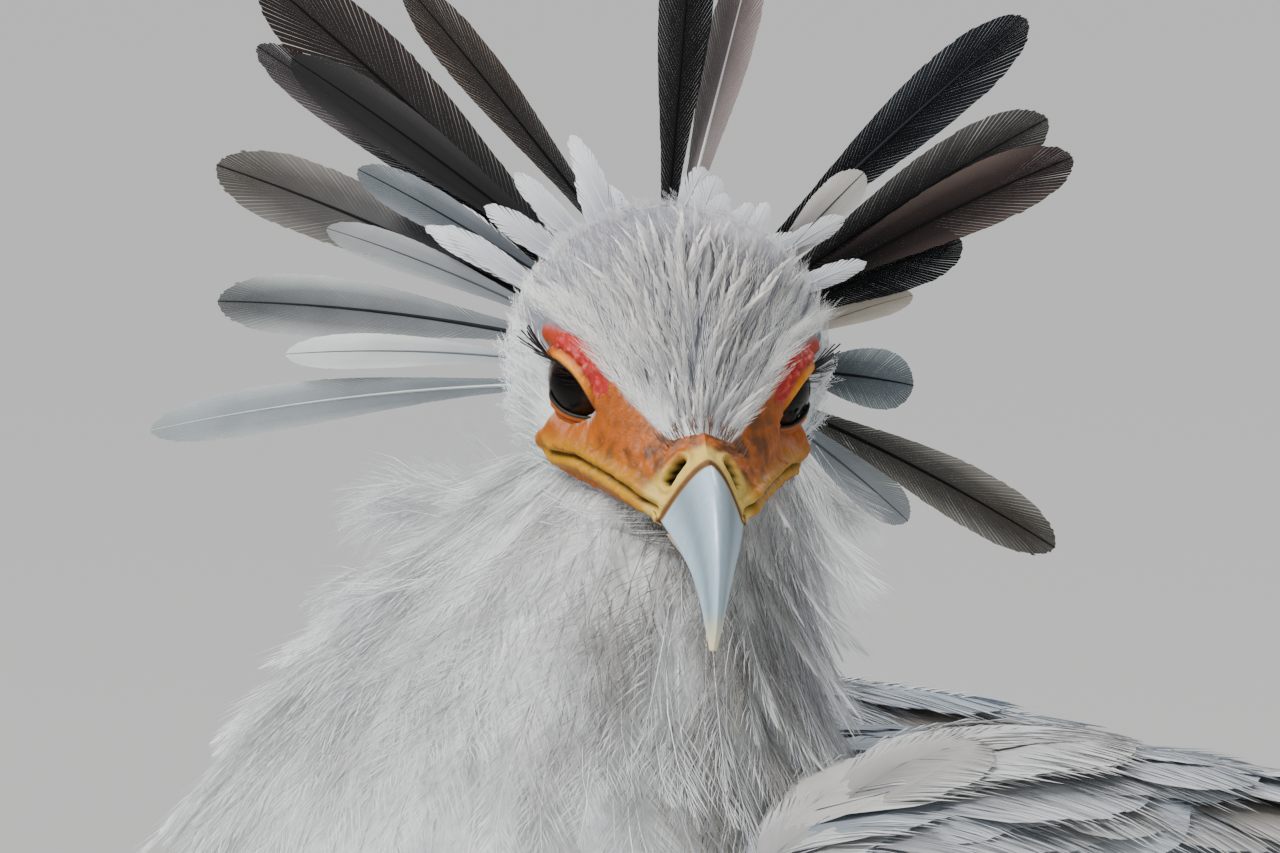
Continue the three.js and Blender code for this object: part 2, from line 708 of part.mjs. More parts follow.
// The lower leg, with raised scutes down its front: each stands out at its lower edge
function shank(side) {
  const top = SHANK[0][0];
  const bottom = SHANK.at(-1)[0];
  const heights = [top, ...KNOB_HEIGHTS];
  const pitch = (SCUTES.from - SCUTES.to) / SCUTES.count;
  const rises = heights.map(() => 0);
  for (let i = 0; i < SCUTES.count; i++) {
    heights.push(SCUTES.from - pitch * i, SCUTES.from - pitch * (i + SCUTES.long));
    rises.push(0.1, SCUTES.rise);
  }
  heights.push(SCUTES.to, 20, bottom);
  rises.push(0, 0, 0);
  return loft(heights.map((z, i) => shankRing(side, z, rises[i], 8)));
}

// A ring of the lower leg at height z, with its front moved out by rise
function shankRing(side, z, rise, sides) {
  const k = SHANK.findIndex((row) => row[0] <= z);
  const [a, b] = [SHANK[Math.max(k - 1, 0)], SHANK[k]];
  const u = a === b ? 0 : (a[0] - z) / (a[0] - b[0]);
  const [x, y, across, deep] = [1, 2, 3, 4].map((j) => lerp(a[j], b[j], u));
  const ring = oval(vec(side * x, y + LEG_SHIFT, z), vec(1, 0, 0), vec(0, 1, 0), across, deep, deep, sides);
  return ring.map((p) => (p.y < y + LEG_SHIFT - 1 ? p.add(vec(0, -rise, 0)) : p));
}

const toeRun = (side, turn) => vec(side * Math.sin(rad(turn)), -Math.cos(rad(turn)), 0);
const footPlace = (side) => vec(side * FOOT.x, FOOT.y + LEG_SHIFT, 0);

// Along a toe: share of its length, half width by its thickness, and half height, thick at the pads
const TOE_PADS = [
  [0, 1.17, 8.5],
  [0.2, 1, 6.5],
  [0.36, 1.05, 6],
  [0.5, 0.84, 5.2],
  [0.64, 0.95, 5.2],
  [0.8, 0.76, 4.6],
  [0.92, 0.84, 4.6],
  [1, 0.62, 4.4],
];
const TOE_SUNK = 0.82; // the height of a toe's middle by its half height

function toe(side, { turn, length, thick }) {
  const run = toeRun(side, turn);
  const across = vec(-run.y, run.x, 0);
  return loft(
    TOE_PADS.map(([t, share, high]) => {
      const centre = footPlace(side).addScaledVector(run, length * t).setZ(high * TOE_SUNK);
      return oval(centre, across, vec(0, 0, 1), share * thick, high, high, 6);
    }),
  );
}

function slab(low, high) {
  const geometry = new THREE.BoxGeometry(2000, 2000, high - low);
  geometry.translate(0, 0, (low + high) / 2);
  return solidOfGeometry(geometry);
}

// The ball of the foot: y, height and radius
const HUB = [
  [3, 3, 11],
  [2, 9, 13],
  [2, 18, 10],
];

function foot(side) {
  const path = HUB.map(([y, z]) => footPlace(side).add(vec(0, y, z)));
  const radii = HUB.map(([, , radius]) => radius);
  const toes = TOES.map((row) => toe(side, row));
  return cut(join([rod(path, radii, 12), ...toes]), [slab(-60, 0), slab(FOOT.top, 80)]);
}

// Along a claw: distance from its root, height of its middle and half width
const CLAW = [
  [0, 3.7, 2.9],
  [5, 3.9, 2.8],
  [10, 3.4, 2.2],
  [14.5, 2.3, 1.4],
  [18, 1.1, 0.5],
];
const CLAW_TOE = 6; // the thickness of toe that such a claw is for

function claw(side, { turn, length, thick }) {
  const run = toeRun(side, turn);
  const across = vec(-run.y, run.x, 0);
  const start = footPlace(side).addScaledVector(run, length + GAP);
  const size = thick / CLAW_TOE;
  return loft(
    CLAW.map(([far, high, half]) => {
      const centre = start.clone().addScaledVector(run, far * size).setZ(high);
      return oval(centre, across, vec(0, 0, 1), half * size, half, half, 6);
    }),
  );
}

// Colours and finish
const finish = (color, roughness = 0.85, metalness = 0) =>
  new THREE.MeshStandardMaterial({ color, roughness, metalness });
const MATERIALS = {
  plumage: finish("#b9bcc0"),
  black: finish("#17181b"),
  tail: finish("#8e9398"),
  bill: finish("#a9bcc6", 0.35),
  eye: finish("#1b120c", 0.08),
  scales: finish("#b98f7c", 0.6),
  claw: finish("#1c1a19", 0.4),
};

function meshOf(name, solid, material) {
  const { numProp, numVert, vertProperties, triVerts } = solid.getMesh();
  const places = new Float32Array(numVert * 3);
  for (let i = 0; i < numVert; i++) {
    places.set(vertProperties.subarray(i * numProp, i * numProp + 3), i * 3);
  }
  const geometry = new THREE.BufferGeometry();
  geometry.setAttribute("position", new THREE.BufferAttribute(places, 3));
  geometry.setIndex(new THREE.BufferAttribute(triVerts, 1));
  const mesh = new THREE.Mesh(geometry, MATERIALS[material]);
  mesh.name = name;
  return mesh;
}

// Assembly: each piece is cut clear of the ones it grows from
function bird() {
  const group = new THREE.Group();
  const add = (name, solid, material) => group.add(meshOf(name, largest(solid), material));
  const torsoRoom = torso(GAP);
  const neckRoom = neckCore(GAP);
  const headRoom = face(GAP);
  add("torso", torso(), "plumage");
  add("head", head(), "plumage");
  add("neck", cut(join([neckCore(), ruff()]), [torsoRoom, headRoom]), "plumage");
  add("bill_upper", bill(UPPER_BILL, 11, 12), "bill");
  add("bill_lower", bill(LOWER_BILL, 5, 12), "bill");
  add("tail", cut(tail(), [torsoRoom]), "tail");
  for (const [side, word] of [
    [1, "left"],
    [-1, "right"],
  ]) {
    add(`eye_${word}`, ball(eyeSide(side).centre, EYE.radius), "eye");
    add(`wing_${word}`, cut(wing(side), [torsoRoom, neckRoom, headRoom]), "plumage");
    add(`thigh_${word}`, cut(column(THIGH, side, 10, 15), [torsoRoom]), "black");
    add(`shank_${word}`, shank(side), "scales");
    add(`foot_${word}`, foot(side), "scales");
    for (const row of TOES) add(`claw_${row.name}_${word}`, claw(side, row), "claw");
  }
  const box = new THREE.Box3().setFromObject(group);
  group.position.set(-(box.min.x + box.max.x) / 2, -(box.min.y + box.max.y) / 2, -box.min.z);
  return group;
}

export default bird();
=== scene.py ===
"""A secretary bird, life size, standing with its neck drawn in, its head turned and its crest fanned out."""

import math

import bpy
import numpy as np
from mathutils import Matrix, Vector, noise
from mathutils.bvhtree import BVHTree


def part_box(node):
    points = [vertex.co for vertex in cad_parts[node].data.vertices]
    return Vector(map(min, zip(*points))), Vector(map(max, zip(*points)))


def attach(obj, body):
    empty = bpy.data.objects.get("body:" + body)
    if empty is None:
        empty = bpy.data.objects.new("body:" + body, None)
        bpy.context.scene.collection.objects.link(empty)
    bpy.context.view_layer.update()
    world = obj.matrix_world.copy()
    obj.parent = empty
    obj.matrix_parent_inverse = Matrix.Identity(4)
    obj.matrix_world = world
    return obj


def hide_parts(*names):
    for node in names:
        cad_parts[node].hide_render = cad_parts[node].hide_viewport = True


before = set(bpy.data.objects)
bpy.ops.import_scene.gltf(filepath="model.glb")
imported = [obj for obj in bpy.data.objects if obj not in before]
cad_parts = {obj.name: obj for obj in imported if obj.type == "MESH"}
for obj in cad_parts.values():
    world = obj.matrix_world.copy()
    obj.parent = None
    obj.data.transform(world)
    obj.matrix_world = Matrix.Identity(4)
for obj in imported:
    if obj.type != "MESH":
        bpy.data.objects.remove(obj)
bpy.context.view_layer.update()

bl_info = {
    "name": "Secretary Bird",
    "version": (1, 0, 0),
    "blender": (4, 5, 0),
    "location": "View3D > Sidebar > Secretary Bird",
    "description": "Builds a life-size secretary bird: skin, eyes, bill, claws and every feather",
    "category": "Object",
}

# Sizes are millimetres in the bird's own frame, as in the solids: it faces -Y, its left side is towards +X
# and z = 0 is the floor.
MM = 0.001
HEAD_PLACE = np.array([5.0, -90.0, 870.0])  # midway between the eyes
FAN_FACES = {"azimuth": 55, "elevation": 8}
HEAD_TURN = {"yaw": 9.5, "pitch": 24, "roll": 3}
LEG_SHIFT = 4

TORSO = [  # y, height of the middle, half width, reach above and below the middle
    [-208, 700, 20, 24, 26], [-197, 698, 52, 58, 60], [-170, 694, 76, 84, 88], [-125, 690, 90, 100, 106],
    [-60, 684, 95, 112, 118], [20, 676, 92, 106, 112], [90, 664, 80, 94, 96], [150, 650, 62, 78, 78],
    [205, 636, 46, 58, 56], [246, 625, 33, 38, 34], [262, 621, 20, 24, 20],
]
NECK = [  # height, x, y, half width across and half depth
    [864, -12, -76, 24, 24], [850, -11, -84, 36, 36], [834, -9, -98, 44, 43], [814, -6, -112, 56, 55],
    [790, -3, -124, 68, 67], [765, 0, -126, 77, 76], [735, 0, -120, 82, 84], [700, 0, -110, 80, 84],
]
SKULL = [  # place along the head, half width, height of the widest place, top, bottom, how peaked above it
    [-47, 9, 2, 12, -8, 1], [-43, 20, 2, 21, -16, 1], [-36, 29, 2, 29, -24, 1], [-26, 34, 2, 35, -30, 1],
    [-15, 35.5, 1, 38, -32, 1], [-6, 33, -3, 38, -32, 1], [2, 29.2, -8, 35, -31, 1],
    [8, 25.8, -10, 29.5, -28, 1.05], [14, 22.2, -10.5, 22, -25, 1.15], [20, 19.2, -10.5, 14, -22, 1.35],
    [26, 16.2, -10.5, 8, -19.5, 1.6], [33, 13, -10.5, 4.4, -17, 1.9], [40.7, 9.7, -9.5, 2, -13.6, 2],
]
ORBIT = {"left": 33, "forward": 12, "up": 0, "radius": 11.5}
EYE = {"left": 17.3, "forward": -1.8, "up": 2, "radius": 11.5, "aside": 52}
LIDS = {"half": 9.2, "above": 4.5, "below": 4.3, "tilt": -25.7}
MOUTH = [[27.6, 4.5, -13], [23, 12, -10.6], [18.4, 22, -9.9], [13.8, 32, -9.8], [9.9, 40, -11.2]]
NOSTRIL = [[5.4, 36.2, 0], [6.8, 36.9, -2.3], [7.8, 37.4, -4.2]]
# Where the feathers end round the bare face: half width of the forehead's at a place along the head, the
# cheek's edge at a height, and the chin's height at a place along the head
FOREHEAD = [[-7, 31], [4, 23.6], [11, 18.6], [17, 15.2], [21.5, 11.8], [26, 8.8], [29.5, 6.5], [31.5, 2]]
CHEEK = [[-18, 8], [-15, 2.5], [-12.5, 0.2], [-5.7, 2.8], [1, 0.7], [7, -3.7], [12, -6.7], [16, -7.5]]
CHIN = [[0, -15.5], [8, -17], [20, -16], [34, -14.6], [41, -14.6]]
UPPER_BILL = [  # ridge forward and up, cutting edge forward and up, half width
    [41, 1.8, 41, -12.8, 9.4], [48.5, 0.2, 47, -13.6, 8], [56, -3.6, 53, -14.6, 6.4],
    [62.4, -9.2, 58.6, -16.6, 4.7], [67, -15.8, 63.2, -20.2, 3.2], [69.8, -22.4, 67.2, -24.8, 1.9],
    [70.6, -28.4, 69.6, -28.9, 0.8],
]
LOWER_BILL = [[41, -20.6, 41, -14.4, 7.6], [46, -20.4, 46, -15, 6.4], [51, -20, 51, -16, 4.6],
              [55.5, -19.6, 55.5, -17.8, 2.6]]
WING = [  # y, height, distance of the middle from the midline, half thickness and half height
    [-134, 748, 72, 9, 15], [-116, 739, 71, 22, 42], [-72, 726, 66, 32, 70], [-20, 714, 64, 35, 76],
    [40, 701, 62, 33, 74], [100, 691, 58, 28, 67], [160, 680, 53, 22, 54], [220, 666, 47, 16, 39],
    [290, 654, 40, 12, 24], [370, 638, 33, 8, 15], [450, 612, 27, 5, 8],
]
TAIL = {"y": 250, "z": 624, "slope": 30}
TAIL_CORE = [[-14, 24, 22, 20], [10, 31, 26, 24], [45, 33, 21, 20], [90, 31, 13, 13], [125, 27, 6, 6]]
TAIL_VANES = [  # distance from the midline, degrees outwards, length, half width
    [3, 1, 690, 21], [8, 3, 420, 22], [12, 5, 395, 22], [15, 7, 365, 21], [18, 9, 330, 20], [20, 11, 290, 19],
]
# Legs: height, x, y, half width across and half depth
THIGH = [
    [652, 42, 6, 12, 26], [630, 47, 7, 31, 50], [600, 50, 9, 38, 60], [560, 52, 12, 37, 56],
    [510, 53, 17, 32, 46], [455, 55, 25, 26, 36], [405, 56, 33, 20, 26], [368, 57, 39, 15, 18],
    [340, 57, 42, 11, 13],
]
SHANK = [
    [339.4, 57, 42, 9.6, 11.2], [328, 57, 43, 10.6, 12.6], [317, 57, 43, 11.4, 14], [305, 57, 42, 9.8, 12.4],
    [285, 57, 40, 7.4, 9.8], [240, 57, 36, 6.5, 8.8], [160, 57, 28, 6.2, 8.4], [90, 57, 21, 6.3, 8.4],
    [45, 57, 17, 6.9, 9], [26, 57, 15, 8.2, 10.4], [14.3, 57, 14, 8.8, 10.8],
]
FOOT = {"x": 57, "y": 12}
TOES = [[4, 66, 6.2], [-36, 46, 5.6], [40, 48, 5.4], [186, 27, 5.6]]  # degrees outwards, length, half width
NAPE = {"right": -2, "up": 6, "across": 25, "high": 27, "back": 22}
SIDES = {"left": 1, "right": -1}
PAIRED = ("wing", "thigh", "shank", "foot")
FLESH = ["torso", "head", "neck", "tail"] + [f"{name}_{word}" for name in PAIRED for word in SIDES]


# Frames
def rad(degrees):
    return np.radians(degrees)


def unit(v):
    v = np.asarray(v, float)
    return v / np.maximum(np.linalg.norm(v, axis=-1, keepdims=True), 1e-9)


def fan_frame():
    a, e = rad(FAN_FACES["azimuth"]), rad(FAN_FACES["elevation"])
    toward = np.array([math.sin(a) * math.cos(e), -math.cos(a) * math.cos(e), math.sin(e)])
    right = np.array([math.cos(a), math.sin(a), 0])
    return right, np.cross(toward, right), toward


FAN_RIGHT, FAN_UP, FAN_TOWARD = fan_frame()


def head_frame():
    yaw, pitch, roll = (rad(HEAD_TURN[k]) for k in ("yaw", "pitch", "roll"))
    ahead = FAN_TOWARD * math.cos(yaw) + FAN_RIGHT * math.sin(yaw)
    aside = FAN_RIGHT * math.cos(yaw) - FAN_TOWARD * math.sin(yaw)
    forward = ahead * math.cos(pitch) - FAN_UP * math.sin(pitch)
    level = FAN_UP * math.cos(pitch) + ahead * math.sin(pitch)
    left = aside * math.cos(roll) - level * math.sin(roll)
    return left, forward, level * math.cos(roll) + aside * math.sin(roll)


HEAD = np.array(head_frame())  # rows: left, forward and up


def in_head(points):
    return HEAD_PLACE + np.asarray(points, float) @ HEAD


def in_fan(right, up, back):
    return HEAD_PLACE + np.outer(right, FAN_RIGHT) + np.outer(up, FAN_UP) - np.outer(back, FAN_TOWARD)


def eye_place(side):
    return np.array([side * EYE["left"], EYE["forward"], EYE["up"]])


def eye_axes(side):
    """An eye's centre, and the ways out of it, along its lids and across them."""
    a, tilt = rad(EYE["aside"]), rad(LIDS["tilt"])
    left, forward, up = HEAD
    out = left * side * math.sin(a) + forward * math.cos(a)
    ahead = forward * math.sin(a) - left * side * math.cos(a)
    longways = ahead * math.cos(tilt) + up * math.sin(tilt)
    crossways = up * math.cos(tilt) - ahead * math.sin(tilt)
    return in_head(eye_place(side)), out, longways, crossways


SHIFT = np.array((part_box("eye_left")[0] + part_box("eye_left")[1]) / 2) / MM - eye_axes(1)[0]


# Curves and surfaces
def along(rows, t):
    """Rows of numbers, read at t from 0 to 1 on a smooth curve through them."""
    rows = np.asarray(rows, float)
    last = len(rows) - 1
    at = np.clip(np.asarray(t, float), 0, 1) * last
    i = np.minimum(at.astype(int), last - 1)
    u = (at - i)[..., None]
    a, b, c, d = rows[np.maximum(i - 1, 0)], rows[i], rows[i + 1], rows[np.minimum(i + 2, last)]
    slope0, slope1, rise = (c - a) / 2, (d - b) / 2, c - b
    return b + slope0 * u + (3 * rise - 2 * slope0 - slope1) * u**2 + (slope0 + slope1 - 2 * rise) * u**3


def smooth(t):
    t = np.clip(t, 0, 1)
    return t * t * (3 - 2 * t)


def mix(a, b, t):
    return a + (b - a) * t


def torso_at(s, turn, lift=0):
    y, z, half, up, down = np.moveaxis(along(TORSO, s), -1, 0)
    high = np.sin(turn) * (np.where(np.sin(turn) > 0, up, down) + lift)
    return np.stack([np.cos(turn) * (half + lift), y, z + high], -1)


def neck_at(s, turn, lift=0):
    z, x, y, across, deep = np.moveaxis(along(NECK, s), -1, 0)
    return np.stack([x + np.cos(turn) * (across + lift), y + np.sin(turn) * (deep + lift), z + 0 * turn], -1)


def skull_at(s, turn, lift=0):
    """In the head's frame: turn 0 is the head's left and a quarter turn its top."""
    f, half, widest, top, bottom, peak = np.moveaxis(along(SKULL, s), -1, 0)
    x, y = np.cos(turn), np.sin(turn)
    across = np.sign(x) * np.abs(x) ** np.where(y > 0, peak, 1) * half + x * lift
    high = widest + y * (np.where(y > 0, top - widest, widest - bottom) + lift)
    return np.stack([across, f + 0 * turn, high], -1)


def wing_at(side):
    def at(s, turn, lift=0):
        y, z, out, thick, high = np.moveaxis(along(WING, s), -1, 0)
        return np.stack([side * (out + np.sin(turn) * (thick + lift)), y + 0 * turn,
                         z + np.cos(turn) * (high + lift)], -1)
    return at


def leg_at(rows, side):
    def at(s, turn, lift=0):
        z, x, y, across, deep = np.moveaxis(along(rows, s), -1, 0)
        x, y = side * x + np.cos(turn) * (across + lift), y + LEG_SHIFT + np.sin(turn) * (deep + lift)
        return np.stack([x, y, z + 0 * turn], -1)
    return at


TAIL_RUN = np.array([0, math.cos(rad(TAIL["slope"])), -math.sin(rad(TAIL["slope"]))])
TAIL_UP = np.array([0, math.sin(rad(TAIL["slope"])), math.cos(rad(TAIL["slope"]))])


def in_tail(x, far, high):
    """Points at x across, far along and high above the tail's line."""
    x, far, high = np.broadcast_arrays(*(np.asarray(v, float) for v in (x, far, high)))
    root = np.array([0, TAIL["y"], TAIL["z"]])
    return root + x[..., None] * np.array([1, 0, 0]) + far[..., None] * TAIL_RUN + high[..., None] * TAIL_UP


def tail_at(s, turn, lift=0):
    far, half, up, down = np.moveaxis(along(TAIL_CORE, s), -1, 0)
    high = np.sin(turn) * (np.where(np.sin(turn) > 0, up, down) + lift)
    return in_tail(np.cos(turn) * (half + lift), far, high)


# Meshes
def grid_faces(rows, turns, around=False):
    """Two triangles for each cell of a grid whose turns go round, and its rows too where it is a ring."""
    i, j = np.meshgrid(np.arange(rows if around else rows - 1), np.arange(turns), indexing="ij")
    k, m = (i + 1) % rows, (j + 1) % turns
    quads = np.stack([i * turns + j, i * turns + m, k * turns + m, k * turns + j], -1).reshape(-1, 4)
    return np.concatenate([quads[:, [0, 1, 2]], quads[:, [0, 2, 3]]])


def loft(rings):
    """(points, faces) of a closed body of rings. Each end closes on a middle point."""
    rows, turns = rings.shape[:2]
    points = np.concatenate([rings.reshape(-1, 3), rings[0].mean(0)[None], rings[-1].mean(0)[None]])
    j = np.arange(turns)
    k, first, end = (j + 1) % turns, 0 * j + rows * turns, (rows - 1) * turns
    caps = [np.stack([k, j, first], -1), np.stack([end + j, end + k, first + 1], -1)]
    return outwards(points, np.concatenate([grid_faces(rows, turns), *caps]))


def with_ends(tint):
    """A lofted grid's colours, with those of its two middle points."""
    return np.concatenate([tint.reshape(-1, 3), tint[0, :1], tint[-1, :1]])


def outwards(points, faces):
    """The closed body's points and faces, turned round where they point inwards."""
    a, b, c = (points[faces[:, k]] for k in range(3))
    volume = np.einsum("ij,ij->i", a - points.mean(0), np.cross(b - points.mean(0), c - points.mean(0))).sum()
    return points, (faces if volume > 0 else faces[:, ::-1])


def joined(parts):
    """One (points, faces, tints) of several."""
    points, faces, tints, start = [], [], [], 0
    for p, f, tint in parts:
        points.append(p)
        faces.append(f + start)
        tints.append(tint)
        start += len(p)
    return np.concatenate(points), np.concatenate(faces), np.concatenate(tints)


def placed(name, data):
    """A new object of the scene, at the world's origin."""
    made = bpy.data.objects.new(name, data)
    bpy.context.scene.collection.objects.link(made)
    return made


def make_piece(name, points, faces, material_name, tint, maps=None, shaded=True):
    """A mesh object of triangles from arrays in the bird's frame."""
    mesh = bpy.data.meshes.new(name)
    co = ((points + SHIFT) * MM).astype(np.float32)
    mesh.vertices.add(len(co))
    mesh.vertices.foreach_set("co", co.ravel())
    mesh.loops.add(len(faces) * 3)
    mesh.loops.foreach_set("vertex_index", faces.astype(np.int32).ravel())
    mesh.polygons.add(len(faces))
    mesh.polygons.foreach_set("loop_start", np.arange(0, len(faces) * 3, 3, dtype=np.int32))
    mesh.polygons.foreach_set("use_smooth", np.full(len(faces), shaded, dtype=bool))
    mesh.update(calc_edges=True)
    layer = mesh.color_attributes.new("tint", "FLOAT_COLOR", "POINT")
    tint = np.column_stack([tint, np.ones(len(tint))]).astype(np.float32)
    layer.data.foreach_set("color", tint.ravel())
    for title, uv in (maps or {}).items():
        layer = mesh.uv_layers.new(name=title)
        layer.data.foreach_set("uv", uv[faces.ravel()].astype(np.float32).ravel())
    mesh.validate()
    mesh.materials.append(material(material_name))
    return placed(name, mesh)


def settle(piece, slot, *nodes):
    """The piece goes with the bird's one body and stands for some nodes. The slot is not used."""
    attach(piece, "root")
    if nodes:
        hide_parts(*nodes)
    return piece


# Colours
def linear(text):
    """An sRGB hex value as a linear colour."""
    c = np.array([int(text[i : i + 2], 16) / 255 for i in (1, 3, 5)])
    return np.where(c <= 0.04045, c / 12.92, ((c + 0.055) / 1.055) ** 2.4)


# Feathers
def wedge(low, high, thick):
    """(points, faces) of one barb of a vane. low and high are its edges' places (s, v), outwards."""
    points = []
    for a, b in zip(low, high):
        points += [[*a, 0], [*b, 0], [(a[0] + b[0]) / 2, (a[1] + b[1]) / 2, -thick]]
    last = len(points) - 3
    faces = [[0, 2, 1], [last, last + 1, last + 2]]
    for k in range(0, last, 3):
        for i, j in ((0, 1), (1, 2), (2, 0)):
            faces += [[k + i, k + j, k + 3 + j], [k + i, k + 3 + j, k + 3 + i]]
    return points, faces


def spindle(root, middle, tip, wide, thick):
    """(points, faces) of one loose barb, thickest at its middle."""
    points = [[*root, 0], [middle[0] - wide, middle[1], 0], [middle[0] + wide, middle[1], 0],
              [middle[0], middle[1], -thick], [*tip, 0]]
    return points, [[0, 1, 2], [0, 2, 3], [0, 3, 1], [4, 2, 1], [4, 3, 2], [4, 1, 3]]


def meets_outline(outline, s0, run):
    """(s, v) where a barb meets its vane's outline. It leaves the shaft at s0, and run is its slope: how far
    it goes along for each 1 across."""
    low, high = s0, 1.0
    for _ in range(18):
        s = (low + high) / 2
        low, high = (s, high) if outline(s) > (s - s0) / max(run, 1e-6) else (low, s)
    return low, (low - s0) / max(run, 1e-6)


def shaft_rod(stations, wide):
    """(points, faces) of a feather's shaft, four sided, from the root to a tip a quarter as wide."""
    points, faces = [], [[0, 2, 1], [0, 3, 2]]
    for i in range(stations):
        s = i / (stations - 1)
        r = wide * mix(1, 0.25, s)
        points += [[s, -r, 0], [s, 0, -r], [s, r, 0], [s, 0, r]]
        for j in range(4 if i else 0):
            a, b = 4 * i - 4 + j, 4 * i - 4 + (j + 1) % 4
            faces += [[a, b, b + 4], [a, b + 4, a + 4]]
    k = 4 * stations - 4
    return points, faces + [[k, k + 1, k + 2], [k, k + 2, k + 3]]


def form_of(pieces, rod, angle):
    """One feather's shape out of its barbs, which are (points, faces, side), and its shaft."""
    points, faces, rib = [], [], []
    for p, f, side in [*pieces, (*rod, 1)]:
        faces += [[k + len(points) for k in (t if side > 0 else t[::-1])] for t in f]
        points += [list(q) for q in p]
        rib += [float(p is rod[0])] * len(p)
    return {"points": np.array(points, float), "faces": np.array(faces), "rib": np.array(rib), "angle": angle}


VANE_TURN, LOOSE_SLOPE = 0.93, 0.3  # how far the barbs turn towards the tip, and what is left of their angle
LOOSE_REACH = 0.15  # how far loose barbs may stick out past the tip, by the length


def slope_at(angle, u):
    """The angle to the shaft of a vane's barb at u, in radians. It shrinks over the feather's outer half."""
    return rad(angle) * (1 - smooth((u - 0.5) / 0.5) * VANE_TURN)


def cupped(barb, depth, side, rise=0.0):
    """A barb's (points, faces, side), bent down by depth times the square of its distance from the shaft."""
    points = np.array(barb[0])
    points[:, 2] += rise - depth * points[:, 1] ** 2
    return points, barb[1], side


def vane_form(rng, pairs, outline, aspect, angle, split, fray, shaft, cup, stations, start=0.05, thick=0.03,
              breaks=2, fringe=0):
    """A closed vane: barbs side by side from the shaft to the outline. s runs from 0 at the root to 1 at the
    tip, v across from -1 to 1 and w out of the vane. aspect is its half width by its length, angle the barbs'
    to the shaft, split how far their tips part, fray how uneven the edge is, breaks how many wider gaps there
    are on a side and fringe how many fine loose barbs stand out of each side's edge."""
    barbs = []
    for side in (-1, 1):
        gaps = set(rng.integers(2, pairs, breaks).tolist())
        edges = []
        for k in range(pairs + 1):
            s0 = mix(start, 0.985, k / pairs)
            run = aspect / math.tan(slope_at(angle, k / pairs))
            edges.append((s0, *meets_outline(outline, s0, run)))
        for k in range(pairs):
            (a0, a1, av), (b0, b1, bv) = edges[k], edges[k + 1]
            short = (0.93 if fringe else 1) - fray * rng.uniform(0, 1)
            part = split * rng.uniform(0.2, 1) * (3 if k in gaps else 1)
            low, high = [], []
            for share in (0, 0.5, 1):
                r = 1 if share < 1 else short
                pa = np.array([mix(a0, a1, share * r * (0.9 + 0.1 * share)), side * av * share * r])
                pb = np.array([mix(b0, b1, share * r * (0.9 + 0.1 * share)), side * bv * share * r])
                pull = min(part * share * share, 0.8) / 2
                low.append(mix(pa, pb, pull))
                high.append(mix(pb, pa, pull))
            barbs.append(cupped(wedge(low, high, thick), cup + split * rng.uniform(-0.07, 0.07), side))
        for k in range(fringe):
            u = (k + rng.uniform(0, 0.9)) / fringe
            s0 = mix(start, 0.97, u)
            s1, v1 = meets_outline(outline, s0, aspect / math.tan(slope_at(angle, u)))
            ends = [(mix(s0, s1, r), side * v1 * r) for r in (0.55, 0.85, 1.02 + rng.uniform(0, 0.12))]
            barbs.append(cupped(spindle(*ends, 0.007, 0.02), cup + rng.uniform(-0.06, 0.02), side, 0.03))
    return form_of(barbs, shaft_rod(stations, shaft), angle)


def loose_form(rng, pairs, outline, aspect, angle, wide, unruly, shaft, thick, cup, start=0.1, stations=4):
    """A loose feather: fine separate barbs that stand off its shaft. wide is a barb's half width by the
    length, and unruly how much the barbs differ."""
    barbs = []
    for side in (-1, 1):
        for k in range(pairs):
            u = (k + rng.uniform(0, 0.9)) / pairs
            s0 = mix(start, 0.99, u)
            slope = rad(angle) * mix(1, LOOSE_SLOPE, smooth((u - 0.5) / 0.5))
            slope = slope * (1 + unruly * rng.uniform(-0.45, 0.45))
            s1, v1 = meets_outline(outline, s0, aspect / math.tan(slope))
            far = 1 + unruly * rng.uniform(-0.35, 0.3)
            s1, v1 = min(mix(s0, s1, far), 1 + LOOSE_REACH * rng.uniform(0, 1)), v1 * far
            s1 = max(s1, s0 + 0.04)
            bow = rng.uniform(0.35, 0.6)
            middle = (mix(s0, s1, bow), side * v1 * (bow + 0.1))
            barb = spindle((s0, 0), middle, (s1, side * v1), wide, thick)
            barbs.append(cupped(barb, -(unruly * rng.uniform(-0.3, 0.3) - cup), side))
    return form_of(barbs, shaft_rod(stations, shaft), angle)


def outlined(widest, root, onward):
    """A vane's width at s: from root at its start to 1 where it is widest, and onward(u) past there."""
    def outline(s):
        return mix(root, 1, smooth(s / widest)) if s < widest else onward((s - widest) / (1 - widest))
    return outline


def rounded(widest, root):
    return outlined(widest, root, lambda u: math.sqrt(max(1 - u**2.4, 0)))


def pointed(widest, root):
    return outlined(widest, root, lambda u: max(0, 1 - u**1.5))


